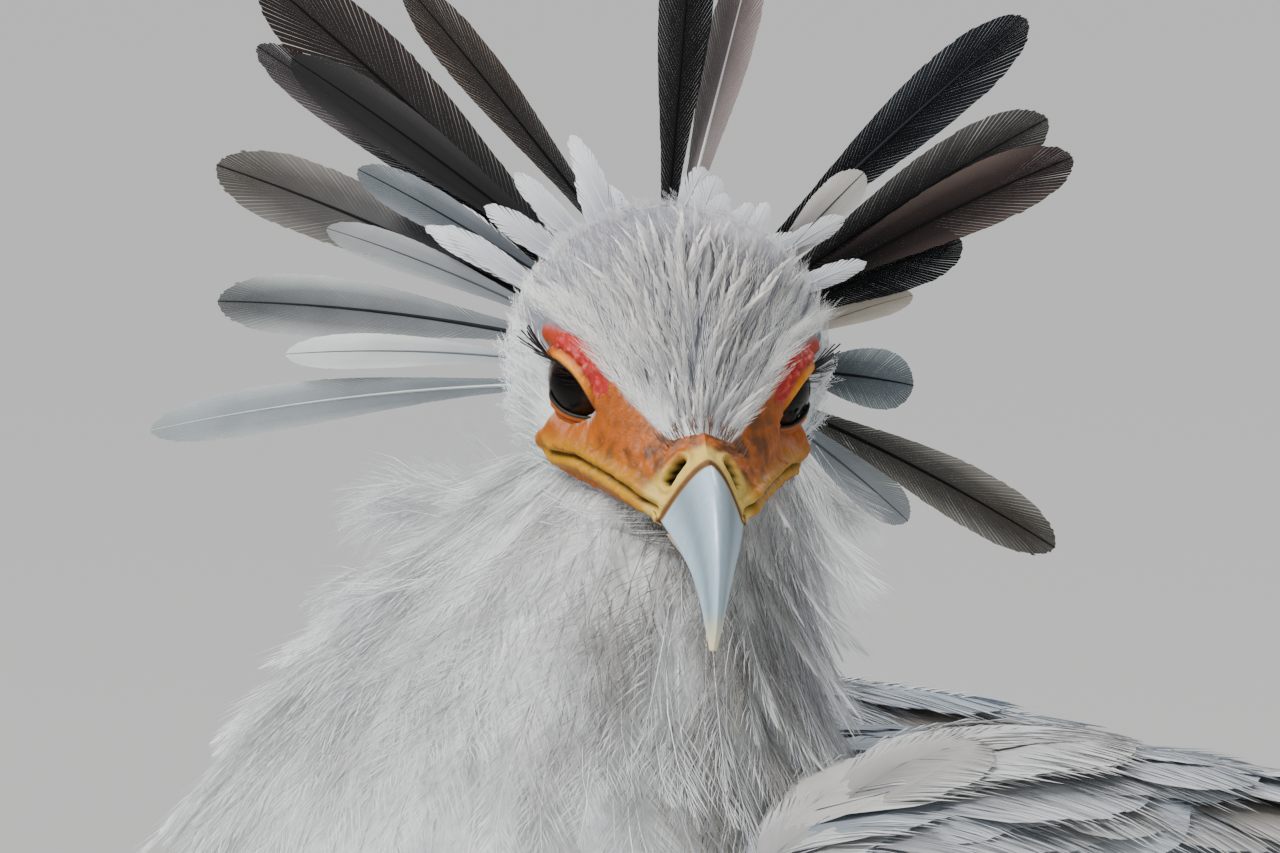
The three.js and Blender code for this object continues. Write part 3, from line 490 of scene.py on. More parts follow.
class Coat:
    """Feathers that are gathered, many at a time, into one mesh."""

    def __init__(self, seed):
        self.rng = np.random.default_rng(seed)
        self.batches = []
        self.start = 0

    def add(self, forms, paths, facing, half, tints, patch, size=0.003):
        """paths are roots, and points half way and at the tips. facing is what the vane faces and half its
        half width. tints are the root's, tip's, edge's and shaft's. patch is the root's place on the unwrap,
        and size the feather's share of it, across and along."""
        root, middle, tip = paths
        count = len(root)
        run, bend = -3 * root + 4 * middle - tip, 2 * tip + 2 * root - 4 * middle
        length = np.linalg.norm(tip - root, axis=1)
        half = np.broadcast_to(half, count)
        size = np.broadcast_to(size, (count, 2))
        across = unit(np.cross(tip - root, facing))
        out = unit(np.cross(across, tip - root))
        pick = self.rng.integers(0, len(forms), count)

        def own(values):
            """The values of the feathers that take the form in hand."""
            return values[these, None]

        for k, form in enumerate(forms):
            these = np.nonzero(pick == k)[0]
            if not len(these):
                continue
            s, v, w = form["points"].T
            p = (own(root) + own(run) * s[None, :, None] + own(bend) * (s**2)[None, :, None]
                 + own(across) * (v * own(half))[..., None] + own(out) * (w * own(half))[..., None])
            base, end, edge, rib = (own(np.broadcast_to(t, (count, 3))) for t in tints)
            c = mix(base, end, smooth((s - 0.25) / 0.7)[None, :, None])
            c = mix(c, edge, (np.abs(v) ** 2.5)[None, :, None].clip(0, 1))
            c = mix(c, rib, form["rib"][None, :, None])
            place = np.stack([np.broadcast_to((v + 1) / 2, (len(these), len(s))),
                              np.broadcast_to(s, (len(these), len(s)))], -1)
            bake = own(patch) + place * own(size)
            barbs = s[None] * own(length) - np.abs(v)[None] * own(half) / math.tan(rad(form["angle"]))
            vane = np.stack([barbs, v[None] * own(half)], -1) / 10
            faces = form["faces"][None] + (self.start + np.arange(len(these)) * len(s))[:, None, None]
            arrays = p, faces, c.astype(np.float32), bake.astype(np.float32), vane
            self.batches.append([x.reshape(-1, x.shape[-1]) for x in arrays])
            self.start += len(these) * len(s)

    def piece(self, name, material_name, slot="plumage"):
        points, faces, tints, bake, vane = (np.concatenate(x) for x in zip(*self.batches))
        print(f"{name}: {len(faces)} triangles")
        maps = {"OFBake": bake, "vane": vane}
        return settle(make_piece(name, points, faces, material_name, tints, maps, shaded=False), slot)


def scatter(rng, at, rows, spacing, jitter):
    """(s, turn) of feathers in rows over a surface, spacing mm apart, each row half a step off the last."""
    found = []
    for k, s in enumerate(rows):
        turns = even_turns(at, s, spacing)
        n = len(turns)
        step = (turns[-1] - turns[0]) / max(n - 1, 1)
        places = s + rng.uniform(-jitter, jitter, n) * (rows[1] - rows[0])
        turns = turns + step * ((k % 2) * 0.5 + rng.uniform(-jitter, jitter, n))
        found.append(np.stack([places, turns], -1))
    return np.concatenate(found)


def lay(at, s, turn, length, lifts, wander, gain=0.0, tilt=0.0):
    """Paths of feathers along a surface, and what they face. Lengths are in mm, wander moves the tips, gain
    turns the feathers as they run and tilt leans them on their neighbours like slates."""
    def reached(s, turn, lift):
        """The surface at s, carried straight on past its end."""
        e, end = 0.03, np.ones(len(s))
        onward = (at(end, turn, lift) - at(end - e, turn, lift)) / e
        return at(s, turn, lift) + onward * np.maximum(s - 1, 0)[:, None]

    e = 0.01
    s = np.minimum(s, 1)
    pace = np.linalg.norm(at(s, turn) - at(s - e, turn), axis=-1) / e
    ds = length / np.maximum(pace, 60)
    root, half_way, tip = (reached(s + ds * k, turn + gain * k, lift) for k, lift in zip((0, 0.5, 1), lifts))
    middle = s + ds * 0.5, turn + gain * 0.5
    facing = unit(at(*middle, 5) - at(*middle, 0))
    facing = unit(facing + tilt * unit(at(middle[0], middle[1] - 0.05) - at(*middle)))
    stretch = length[:, None] / np.maximum(np.linalg.norm(tip - root, axis=-1, keepdims=True), 1e-6)
    stretch = np.clip(stretch, 0.5, 4)
    half_way, tip = root + (half_way - root) * stretch, root + (tip - root) * stretch
    return (root, half_way + wander * 0.3, tip + wander), facing


def hang(tree, roots, way, length, lifts):
    """Paths of feathers that run one way over a body, kept on its surface by its tree, and what they face."""
    stops, facing = [], None
    for share, lift in zip((0, 0.5, 1), lifts):
        hits = [tree.find_nearest(Vector(p)) for p in roots + way * length[:, None] * share]
        normals = np.array([h[1][:] for h in hits])
        stops.append(np.array([h[0][:] for h in hits]) + normals * np.broadcast_to(lift, len(roots))[:, None])
        facing = normals if share == 0.5 else facing
    return tuple(stops), facing


def tree_of(*surfaces):
    """The search tree of some closed surfaces."""
    lofts = [loft(sampled(at, 50, 72)) for at in surfaces]
    points, faces, _ = joined([(p, f, p) for p, f in lofts])
    return BVHTree.FromPolygons(points.tolist(), faces.tolist())


def depth_in(tree, points):
    """How deep points lie under a tree's surface, in mm. It is negative outside it."""
    hits = [(Vector(p), *tree.find_nearest(Vector(p))[:2]) for p in points]
    return np.array([(found - p).dot(normal) for p, found, normal in hits])


def atlas(s, turn):
    """A place on the unwrap: the turn once round is its width."""
    return np.stack([(turn / (2 * np.pi)) % 1, s], -1) * 0.98


# Materials
def node(tree, kind, settings=None, inputs=None):
    """Adds a node to a tree with its settings, and its inputs' values or links."""
    made = tree.nodes.new(kind)
    for key, value in (settings or {}).items():
        setattr(made, key, value)
    for key, value in (inputs or {}).items():
        if isinstance(value, bpy.types.NodeSocket):
            tree.links.new(value, made.inputs[key])
        else:
            made.inputs[key].default_value = value
    return made


def blank(name):
    """A material with nothing in its tree yet, and the tree."""
    made = bpy.data.materials.new(name)
    made.use_nodes = True
    made.node_tree.nodes.clear()
    return made, made.node_tree


def finished(made, inputs):
    """The material, with a shader that has these inputs."""
    shader = node(made.node_tree, "ShaderNodeBsdfPrincipled", None, inputs)
    node(made.node_tree, "ShaderNodeOutputMaterial", None, {"Surface": shader.outputs[0]})
    return made


def scaled(tree, colour, amount, span, low, high):
    """The colour times low where the amount is at the start of its span, and high at the end."""
    share = node(tree, "ShaderNodeMapRange", None, {
        "Value": amount, "From Min": span[0], "From Max": span[1], "To Min": low, "To Max": high})
    shade = node(tree, "ShaderNodeVectorMath", {"operation": "SCALE"}, {0: colour, "Scale": share.outputs[0]})
    return shade.outputs[0]


def varied(tree, colour, scale, low, high, detail=3):
    """The colour times a noise on Object coordinates, from low to high. The scale is in patches per metre."""
    place = node(tree, "ShaderNodeTexCoord")
    grain = node(tree, "ShaderNodeTexNoise", None, {
        "Vector": place.outputs["Object"], "Scale": scale, "Detail": detail})
    return scaled(tree, colour, grain.outputs[0], NOISE_SPAN, low, high), grain.outputs[0]


NOISE_SPAN = (0.3, 0.7)  # what a noise texture's values lie between, but for a few
BARB_STEP = 0.9  # mm from stripe to stripe; real barbs lie 0.4 mm apart, too fine to show


def feather_keratin(name, roughness, sheen, contrast, gloss):
    """Feather keratin: barbs side by side catch light in fine stripes, and the soft down between them gives a
    faint sheen."""
    made, tree = blank(name)
    tint = node(tree, "ShaderNodeAttribute", {"attribute_name": "tint"})
    vane = node(tree, "ShaderNodeUVMap", {"uv_map": "vane"})
    split = node(tree, "ShaderNodeSeparateXYZ", None, {0: vane.outputs[0]})
    turns = node(tree, "ShaderNodeMath", {"operation": "MULTIPLY"},
                 {0: split.outputs[0], 1: 2 * math.pi * 10 / BARB_STEP})
    wave = node(tree, "ShaderNodeMath", {"operation": "SINE"}, {0: turns.outputs[0]})
    striped = scaled(tree, tint.outputs["Color"], wave.outputs[0], (-1.0, 1.0), 1 - contrast, 1 + contrast)
    return finished(made, {
        "Base Color": varied(tree, striped, 90, 0.9, 1.08)[0], "Roughness": roughness, "Sheen Weight": sheen,
        "Sheen Roughness": 0.6, "Specular IOR Level": gloss, "IOR": 1.54})


def bare_skin(name):
    """Bare facial skin: waxy and finely creased, 0.5 to 2 mm from crease to crease, so it shines softly in
    small broken spots. Under the feathers the same skin is pale."""
    made, tree = blank(name)
    tint = node(tree, "ShaderNodeAttribute", {"attribute_name": "tint"})
    place = node(tree, "ShaderNodeTexCoord")
    cells = node(tree, "ShaderNodeTexVoronoi", {"feature": "DISTANCE_TO_EDGE"},
                 {"Vector": place.outputs["Object"], "Scale": 1100.0})
    fine = node(tree, "ShaderNodeTexNoise", None, {
        "Vector": place.outputs["Object"], "Scale": 1600.0, "Detail": 4.0})
    both = node(tree, "ShaderNodeMath", {"operation": "ADD"}, {0: cells.outputs[0], 1: fine.outputs[0]})
    bump = node(tree, "ShaderNodeBump", None, {
        "Height": both.outputs[0], "Strength": 0.35, "Distance": 0.0003})
    return finished(made, {
        "Base Color": varied(tree, tint.outputs["Color"], 450, 0.82, 1.1, 5)[0], "Normal": bump.outputs[0],
        "Roughness": 0.52, "Specular IOR Level": 0.4, "IOR": 1.45, "Subsurface Weight": 0.12,
        "Subsurface Radius": (0.002, 0.0008, 0.0004), "Subsurface Scale": 1.0})


def bill_horn(name):
    """Bill keratin: smooth, dense horn with a satin polish and faint growth streaks 1 mm apart."""
    made, tree = blank(name)
    tint = node(tree, "ShaderNodeAttribute", {"attribute_name": "tint"})
    place = node(tree, "ShaderNodeTexCoord")
    stretched = node(tree, "ShaderNodeMapping", None, {
        "Vector": place.outputs["Object"], "Scale": (1, 1, 0.12)})
    streaks = node(tree, "ShaderNodeTexNoise", None, {
        "Vector": stretched.outputs[0], "Scale": 1000.0, "Detail": 3.0})
    shade = scaled(tree, tint.outputs["Color"], streaks.outputs[0], NOISE_SPAN, 0.93, 1.06)
    bump = node(tree, "ShaderNodeBump", None, {
        "Height": streaks.outputs[0], "Strength": 0.15, "Distance": 0.0002})
    return finished(made, {"Base Color": shade, "Normal": bump.outputs[0], "Roughness": 0.33, "IOR": 1.55})


def wet_eye(name):
    """A living eye: a dark brown iris under a clear wet cornea, which mirrors the light sharply."""
    made, tree = blank(name)
    tint = node(tree, "ShaderNodeAttribute", {"attribute_name": "tint"})
    return finished(made, {
        "Base Color": varied(tree, tint.outputs["Color"], 1500, 0.8, 1.15, 4)[0], "Roughness": 0.05,
        "IOR": 1.38, "Specular IOR Level": 0.14})


def keratin(name, tint, uneven, roughness):
    """Dense keratin, as of claws, lashes and leg scales: worn to a dull shine, with fine streaks 1 to 2 mm
    apart."""
    made, tree = blank(name)
    colour, grain = varied(tree, tuple(tint), 700, 1 - uneven, 1 + uneven, 4)
    bump = node(tree, "ShaderNodeBump", None, {"Height": grain, "Strength": 0.3, "Distance": 0.0003})
    return finished(made, {
        "Base Color": colour, "Normal": bump.outputs[0], "Roughness": roughness, "IOR": 1.55})


def painted_floor(name):
    """Pale paint on a studio floor, matt, so that it shows no reflection."""
    return finished(blank(name)[0], {"Base Color": (*colours().floor, 1), "Roughness": 0.9})


MATERIALS = {
    "soft_feather": lambda name: feather_keratin(name, 0.85, 0.2, 0.05, 0.22),
    "vane_feather": lambda name: feather_keratin(name, 0.62, 0.01, 0.1, 0.08),
    "bare_skin": bare_skin,
    "bill_horn": bill_horn,
    "wet_eye": wet_eye,
    "claw_horn": lambda name: keratin(name, linear("#232120"), 0.45, 0.4),
    "lash_keratin": lambda name: keratin(name, linear("#0d0c0c"), 0.2, 0.45),
    "bristle_keratin": lambda name: keratin(name, linear("#5a3a20"), 0.4, 0.5),
    "leg_scale": lambda name: keratin(name, hue("legs"), 0.22, 0.5),
    "painted_floor": painted_floor,
}


def material(name):
    """The named material, made when it is first asked for."""
    return bpy.data.materials.get(name) or MATERIALS[name](name)


# Sizes and colours that a user would change
def colour_property(title, description, text):
    return bpy.props.FloatVectorProperty(name=title, description=description, default=tuple(linear(text)),
                                         min=0, max=1, subtype="COLOR")


def length_property(title, description, default, low, high):
    return bpy.props.FloatProperty(name=title, description=description, default=default, min=low, max=high,
                                   unit="LENGTH", subtype="DISTANCE")


class BirdSizes(bpy.types.PropertyGroup):
    density: bpy.props.FloatProperty(
        name="Feather density", description="Small feathers by their usual number", default=1.0, min=0.2,
        max=1.5, subtype="FACTOR")
    coat_depth: length_property(
        "Coat depth", "How deep the skin lies under the feathers", 0.007, 0.002, 0.015)
    lash_length: length_property("Lash length", "Length of the longest lashes", 0.0085, 0.004, 0.02)
    scute_width: length_property(
        "Leg scale width", "Width of the scales down the shanks", 0.009, 0.004, 0.014)
    camera_distance: length_property("Camera distance", "From the head to the camera", 2.4, 1.0, 10.0)


class BirdColours(bpy.types.PropertyGroup):
    white: colour_property("White", "Neck and breast feathers", "#eceef0")
    grey: colour_property("Blue-grey", "Back and wing coverts", "#7f8994")
    dun: colour_property("Dun", "Some of the wing coverts", "#7d756b")
    # Down is both the grey of real down deep in the ruff and the painted shade under the bill and the chin
    down: colour_property("Down", "Feathers deep in the ruff", "#87827a")
    black: colour_property("Black", "Flight feathers, rump and thighs", "#1a1a1e")
    crown: colour_property("Crown", "Bases of the crown's feathers", "#878892")
    cream: colour_property("Cream", "Tips of the crown's feathers", "#efeae0")
    orange: colour_property("Orange", "Bare skin of the face", "#9c4d00")
    yellow: colour_property("Yellow", "Lips", "#b08100")
    red: colour_property("Red", "Brow", "#a3201c")
    horn: colour_property("Horn", "Bill", "#9db4c0")
    legs: colour_property("Legs", "Scales of the legs", "#b38f80")
    floor: colour_property("Floor", "Studio floor", "#e4e5df")


def sizes():
    return bpy.context.scene.bird_sizes


def colours():
    return bpy.context.scene.bird_colours


def hue(name):
    return np.array(getattr(colours(), name)[:])


# The skin
OVER_FLOOR = 0.15  # mm from the floor up to the soles
SUNK = 1.6  # mm from the bare face's surface down to the skin under the small feathers
# groove, nostril and crease are dark tones laid in the mouth's groove, the nostrils' slits and the lids'
# creases as painted shade
SKIN_COLOURS = {name: linear(text) for name, text in {
    "olive": "#54300a", "cere": "#c8a850", "groove": "#4a2c08", "nostril": "#120c08", "bill_line": "#6e4a22",
    "pink": "#cf6250", "band": "#e08c10", "crease": "#8a3008", "lid_edge": "#15140f"}.items()}


def grid_normals(p):
    """Normals of a grid of rings whose turns go round, pointing away from the middle of each ring."""
    ds = np.gradient(p, axis=0)
    dt = np.roll(p, -1, 1) - np.roll(p, 1, 1)
    n = unit(np.cross(ds, dt))
    away = p - p.mean(1, keepdims=True)
    return n * np.sign(np.einsum("ijk,ijk->ij", n, away).mean())


def distance_to_line(p, line):
    """How far points are from a line of points."""
    best = np.full(p.shape[:-1], np.inf)
    for a, d in zip(line, np.diff(line, axis=0)):
        t = np.clip(((p - a) @ d) / (d @ d), 0, 1)
        best = np.minimum(best, np.linalg.norm(p - a - t[..., None] * d, axis=-1))
    return best


def bump_of(x, wide):
    return np.exp(-((x / wide) ** 2))


def wrinkles(p, scale, seed):
    """Smooth noise at points, from about -1 to 1."""
    flat = p.reshape(-1, 3) / scale + seed
    return np.array([noise.noise(Vector(q)) for q in flat]).reshape(p.shape[:-1])


def head_eye(side):
    """The eye's centre and axes in the head's frame: (centre, out, longways, crossways)."""
    return (eye_place(side), *(HEAD @ axis for axis in eye_axes(side)[1:]))


def bill_section(turn):
    """Across from -1 to 1, and share of the height, of a section of the bill."""
    share = ((np.sin(turn) + 1) / 2) ** 1.5
    flank = np.sign(np.cos(turn)) * (1 - share) ** 0.64
    return np.where(np.sin(turn) > -0.6, flank, 1.25 * np.cos(turn)), share


def on_grid(p, line):
    """A line's points, each moved to the nearest point of a grid."""
    flat = p.reshape(-1, 3)
    return np.array([flat[np.argmin(((flat - q) ** 2).sum(-1))] for q in np.asarray(line, float)])


def face_rings():
    """The head's bare and feathered skin as a fine grid in the head's frame that ends in the bill's own
    section, and its colours."""
    steps = [6, 6, 6, 6, 12] + [18] * 7  # rings from each row of SKULL to the next
    t = np.concatenate([np.linspace(k, k + 1, n, endpoint=False) for k, n in enumerate(steps)] + [[12]]) / 12
    s, a = np.meshgrid(t, round_turns(240), indexing="ij")
    p = skull_at(s, a)
    across, share = bill_section(a)
    bill = np.stack([across * (UPPER_BILL[0][4] + 0.5), p[..., 1],
                     mix(UPPER_BILL[0][3] - 0.8, UPPER_BILL[0][1] + 0.5, share)], -1)
    p = mix(p, bill, smooth((p[..., 1] - 33) / 6.5)[..., None])
    p = p - grid_normals(p) * (SUNK * (1 - bareness(p)))[..., None]
    for side in SIDES.values():
        p = round_eye(p, side)
    slits = [on_grid(p, np.array(NOSTRIL) * [side, 1, 1]) for side in SIDES.values()]
    slit = np.minimum(*(distance_to_line(p, line) for line in slits))
    return p + grid_normals(p) * face_relief(p, slit)[..., None], face_tint(p, slit)


def round_eye(p, side):
    """The face's points, moved round one eye: in to its socket, out over its ball and off its opening."""
    hollow = p - np.array([side * ORBIT["left"], ORBIT["forward"], ORBIT["up"]])
    far = np.linalg.norm(hollow, axis=-1, keepdims=True)
    p = p + unit(hollow) * np.maximum(ORBIT["radius"] - far, 0)
    centre, out, longways, crossways = head_eye(side)
    d = p - centre
    ahead, off = d @ out, lid_distance(d @ longways, d @ crossways)
    over = np.maximum(EYE["radius"] + 1.2 - np.linalg.norm(d, axis=-1), 0)
    swell = np.where(ahead > 0, smooth((9 - off) / 7), 0) * over
    p = p + unit(d) * swell[..., None]
    room = np.where(ahead > 0, smooth((4.5 - off) / 2.5), 0)
    return p - unit(d) * (room * np.maximum(np.linalg.norm(p - centre, axis=-1) - 10, 0))[..., None]


def face_relief(p, slit):
    """How far the face stands out at its points, slit mm from the nostrils: lips, the mouth's corners,
    nostrils, the step to the bill and folds."""
    forward = p[..., 1]
    below, fade = p[..., 2] - lips_at(forward), smooth((forward - 1) / 5) * smooth((41 - forward) / 4)
    lips = 1.5 * bump_of(below - 1.8, 1.3) + 1.2 * bump_of(below + 1.7, 1.2) - 1.2 * bump_of(below, 0.45)
    rise = fade * lips
    rise += 1.3 * bump_of(np.hypot(forward - 3.5, below) - 3.0, 1.3) * smooth((4 - forward) / 3)
    rise += 0.8 * bump_of(slit - 2.0, 0.8) - 3.0 * bump_of(slit, 0.8)
    rise += 0.45 * bump_of(forward - 39.4, 0.9)
    folds = np.abs(wrinkles(p * [1, 1.6, 0.8], 3.0, 3))
    rise += bareness(p) * (0.45 * folds + 0.22 * wrinkles(p, 1.1, 9)) * smooth((37 - forward) / 4)
    return rise


def lid_distance(p, q):
    """How far, in mm, a point of the face is outside the lids' opening. p is longways and q crossways."""
    reach = np.where(q > 0, LIDS["above"], LIDS["below"])
    inside = np.clip(1 - (p / LIDS["half"]) ** 2, 0, 1) * reach
    over = np.abs(q) - inside
    past = np.maximum(np.abs(p) - LIDS["half"], 0)
    return np.hypot(past, np.maximum(over, 0)) - np.maximum(-over, 0) * (past == 0)


def bareness(p):
    """1 on the bare skin of the face and 0 under feathers, at points in the head's frame."""
    l, f, u = np.abs(p[..., 0]), p[..., 1], p[..., 2]
    forehead = smooth((l - np.interp(f, *np.transpose(FOREHEAD))) / 1.6 + 0.5 + 2 * smooth((f - 30.5) / 2))
    back = smooth((f - np.interp(u, *np.transpose(CHEEK))) / 1.6 + 0.5)
    chin = smooth((u - np.interp(f, *np.transpose(CHIN))) / 1.5 + 0.5)
    return forehead * back * chin


def lips_at(forward):
    """How high the line between the lips is."""
    return np.interp(forward, *np.transpose(MOUTH)[1:])


def layered(colour, shape, shares):
    """A named colour over an array's shape, with other named colours laid over it by their shares."""
    tint = np.broadcast_to(hue(colour), shape)
    for name, share in shares.items():
        tint = mix(tint, SKIN_COLOURS[name] if name in SKIN_COLOURS else hue(name), share[..., None])
    return tint


def face_tint(p, slit):
    """Colours of the face's skin at points in the head's frame, slit mm from the nostrils."""
    f, u = p[..., 1], p[..., 2]
    lips = lips_at(f)
    shares = {
        "red": 0.75 * smooth((u - 7) / 5) * smooth((14 - f) / 8),
        "olive": (0.85 * smooth(wrinkles(p, 2.8, 13) * 1.4 + 0.4) * smooth((f - 12) / 10)
                  * smooth((u + 10) / 5)),
        "yellow": bump_of(u - lips, 3.0) * smooth(f / 4),
        "cere": smooth((f - 33.6 + 0.5 * wrinkles(p, 3, 31)) / 2.2),
        # Painted shade: a dark brown line in the groove between the lips
        "groove": bump_of(u - lips, 0.55) * smooth((f - 2) / 3) * smooth((38 - f) / 4),
        # Painted shade: the nostrils' slits are near black
        "nostril": smooth((1.25 - slit) / 0.5),
        "bill_line": smooth((f - 39.9) / 0.5),
    }
    # Painted shade: the skin under the feathers takes the white or crown colour darkened to three quarters or
    # four fifths, so that gaps show as shade
    under = mix(hue("white") * 0.75, hue("crown") * 0.8, smooth((u - 4) / 6)[..., None])
    return mix(under, layered("orange", p.shape, shares), bareness(p)[..., None])


def lid_patch(side, tree):
    """The lids and folds round one eye: a ring of skin from the lids' edge to the face, closed behind."""
    centre, out, longways, crossways = head_eye(side)
    off = np.concatenate([[-0.5, -0.25, 0.0], np.linspace(0.3, 8.6, 44)])
    d, a = np.meshgrid(off, round_turns(144), indexing="ij")
    reach = np.where(np.sin(a) > 0, LIDS["above"], LIDS["below"])
    grow = np.maximum(d, 0)
    p = LIDS["half"] * np.cos(a) + grow * np.cos(a)
    q = np.sign(np.sin(a)) * reach * np.sin(a) ** 2 + grow * np.sin(a)
    radius = EYE["radius"] + np.interp(d, [-0.5, -0.25, 0, 0.3, 1.2, 3], [0.1, 0.5, 0.85, 1.0, 1.25, 1.4])
    shell = np.sqrt(np.maximum(radius**2 - p**2 - q**2, 4))
    base = shell.copy()
    for place in np.ndindex(*d.shape):
        start = centre + out * 40 + longways * p[place] + crossways * q[place]
        hit = tree.ray_cast(Vector(start), Vector(-out))[0]
        if hit is not None:
            base[place] = (hit - Vector(centre)).dot(Vector(out))
    far = mix(shell, base, smooth((d - 1.6) / 5.4))
    above = smooth(q / 2 + 0.5)
    far += above * (1.0 * bump_of(d - 1.5, 1.0) - 0.7 * bump_of(d - 3.1, 0.6))
    brow = np.exp(-(((q - 8.7 + 0.045 * p**2) / 2.3) ** 2)) * smooth((p + 12) / 4) * smooth((14 - p) / 5)
    far += brow * 1.9 * smooth((d - 1) / 2.5)
    fold = np.sin(d * 2 * np.pi / 1.25 + p * 0.3) * smooth((d - 0.8) / 0.8) * smooth((8 - d) / 3)
    far += fold * mix(0.16, 0.06, above)
    points = centre + far[..., None] * out + p[..., None] * longways + q[..., None] * crossways
    knobs = [0.55 - noise.voronoi(Vector(v))[0][0] for v in points.reshape(-1, 3) / 1.5]
    knobs = np.array(knobs).reshape(p.shape)
    rough = wrinkles(points, 1.6, 5 * side) + 0.5 * wrinkles(points, 0.8, 7 * side)
    points += ((rough * 0.2 + knobs * 1.5 * brow) * smooth((d - 1) / 2))[..., None] * out
    hidden = np.maximum(1 - bareness(points), smooth((d - 7.3) / 1.3))
    points -= (hidden * (SUNK + 1.5))[..., None] * out
    shares = {
        "red": smooth((q - 6.3 + 0.04 * p**2) / 1.2) * smooth((12 - p) / 4) * smooth((p + 12) / 2),
        "pink": smooth(knobs * 2.2) * smooth((brow - 0.3) / 0.4) * 0.75,
        "band": bump_of(d - 1.7, 0.9) * above * smooth((p + 9) / 4) * smooth((8 - p) / 6),
        # Painted shade: the crease above the lid and the troughs of the folds are darker
        "crease": (0.8 * bump_of(d - 3.2, 0.4) * above
                   + 0.45 * smooth(-fold * 2) * (1 - above) * bump_of(d - 3, 1.5)),
        "lid_edge": smooth((0.8 - d) / 0.35),
    }
    tint = layered("orange", points.shape, shares)
    back = points[::-1] - out * 1.3
    ring = np.concatenate([points, back])
    tint = np.concatenate([tint, tint[::-1]])
    points, faces = outwards(ring.reshape(-1, 3), grid_faces(*ring.shape[:2], around=True))
    return in_head(points), faces, tint.reshape(-1, 3)


def tube(path, radii, sides):
    """A tapered closed rod through points."""
    path, radii = np.asarray(path, float), np.asarray(radii, float)
    run = unit(np.gradient(path, axis=0))
    side = unit(np.cross(run, [0.3, 0.1, 1.0]))
    other = np.cross(run, side)
    a = round_turns(sides)
    ring = side[:, None] * np.cos(a)[None, :, None] + other[:, None] * np.sin(a)[None, :, None]
    return loft(path[:, None] + ring * radii[:, None, None])


def round_turns(count):
    return np.linspace(0, 2 * np.pi, count, endpoint=False)


def sampled(at, rows, turns, lift=0.0, span=(0, 1)):
    """A surface's rings."""
    return at(*np.meshgrid(np.linspace(*span, rows), round_turns(turns), indexing="ij"), lift)


def foot_place(side):
    return np.array([side * FOOT["x"], FOOT["y"] + LEG_SHIFT, 0])


def toe_rings(side, turn, length, thick):
    """Rings of one toe, which turns outwards, with soft pads below and short scales above."""
    run = np.array([side * math.sin(rad(turn)), -math.cos(rad(turn)), 0])
    across = np.array([-run[1], run[0], 0])
    s, a = np.linspace(0, 1, 40), round_turns(28)
    pads = 1 + 0.09 * np.cos(s * 2 * np.pi * 3.2 + 0.6)
    half = thick * mix(1.1, 0.66, s) * pads
    high = np.interp(s, [0, 0.2, 0.5, 0.8, 1], [8.5, 6.5, 5.4, 4.7, 4.2]) * (1 + 0.5 * (pads - 1))
    scales = 0.35 * np.abs(np.sin(s * length / 2.6 * np.pi))[:, None] * (np.sin(a) > 0.2)
    up = np.sin(a) * (high[:, None] + scales) + high[:, None] * 0.82
    rings = (foot_place(side) + (s[:, None, None] * length) * run
             + (np.cos(a) * half[:, None])[..., None] * across + up[..., None] * np.array([0, 0, 1]))
    rings[..., 2] = np.maximum(rings[..., 2], OVER_FLOOR)
    return rings


def body_tint(at, turn):
    """The colours of the body's feathers at places on the torso."""
    back = smooth((np.sin(turn) - 0.1) / 0.5) * smooth((at[..., 1] + 165) / 40)
    rump = smooth((at[..., 1] - 120) / 50) * smooth((np.sin(turn) + 0.3) / 0.4)
    vent = smooth((at[..., 1] - 60) / 60) * smooth((-np.sin(turn) + 0.2) / 0.4)
    base = mix(hue("white"), hue("grey"), back[..., None])
    return mix(base, hue("black"), np.maximum(rump, vent * 0.95)[..., None])


def skin_part(at, rows, turns, lift, colour, span=(0, 1)):
    """(points, faces, tints) of the skin under one region's feathers. colour(points, turns) is theirs."""
    rings = sampled(at, rows, turns, lift, span)
    # Painted shade: the skin under each region's feathers is their colour at three quarters, so that gaps
    # between the feathers read as shade
    tint = colour(rings, np.broadcast_to(round_turns(turns), rings.shape[:2])) * 0.75
    return (*loft(rings), with_ends(np.broadcast_to(tint, rings.shape)))


def shared_skin():
    """The skin under the feathers, in (points, faces, tints) of its regions."""
    def white(p, turn):
        return hue("white")

    def black(p, turn):
        return hue("black")

    def wing(p, turn):
        return mix(hue("grey"), hue("black"), smooth((p[..., 1:2] - 10) / 30))

    depth = sizes().coat_depth / MM
    parts = [skin_part(torso_at, 40, 64, -depth, body_tint), skin_part(neck_at, 30, 56, -depth, white),
             skin_part(tail_at, 20, 32, -3, white)]
    for side in SIDES.values():
        parts.append(skin_part(wing_at(side), 40, 40, -4, wing, (0, 0.62)))
        parts.append(skin_part(leg_at(THIGH, side), 40, 32, -3, black))
    return parts


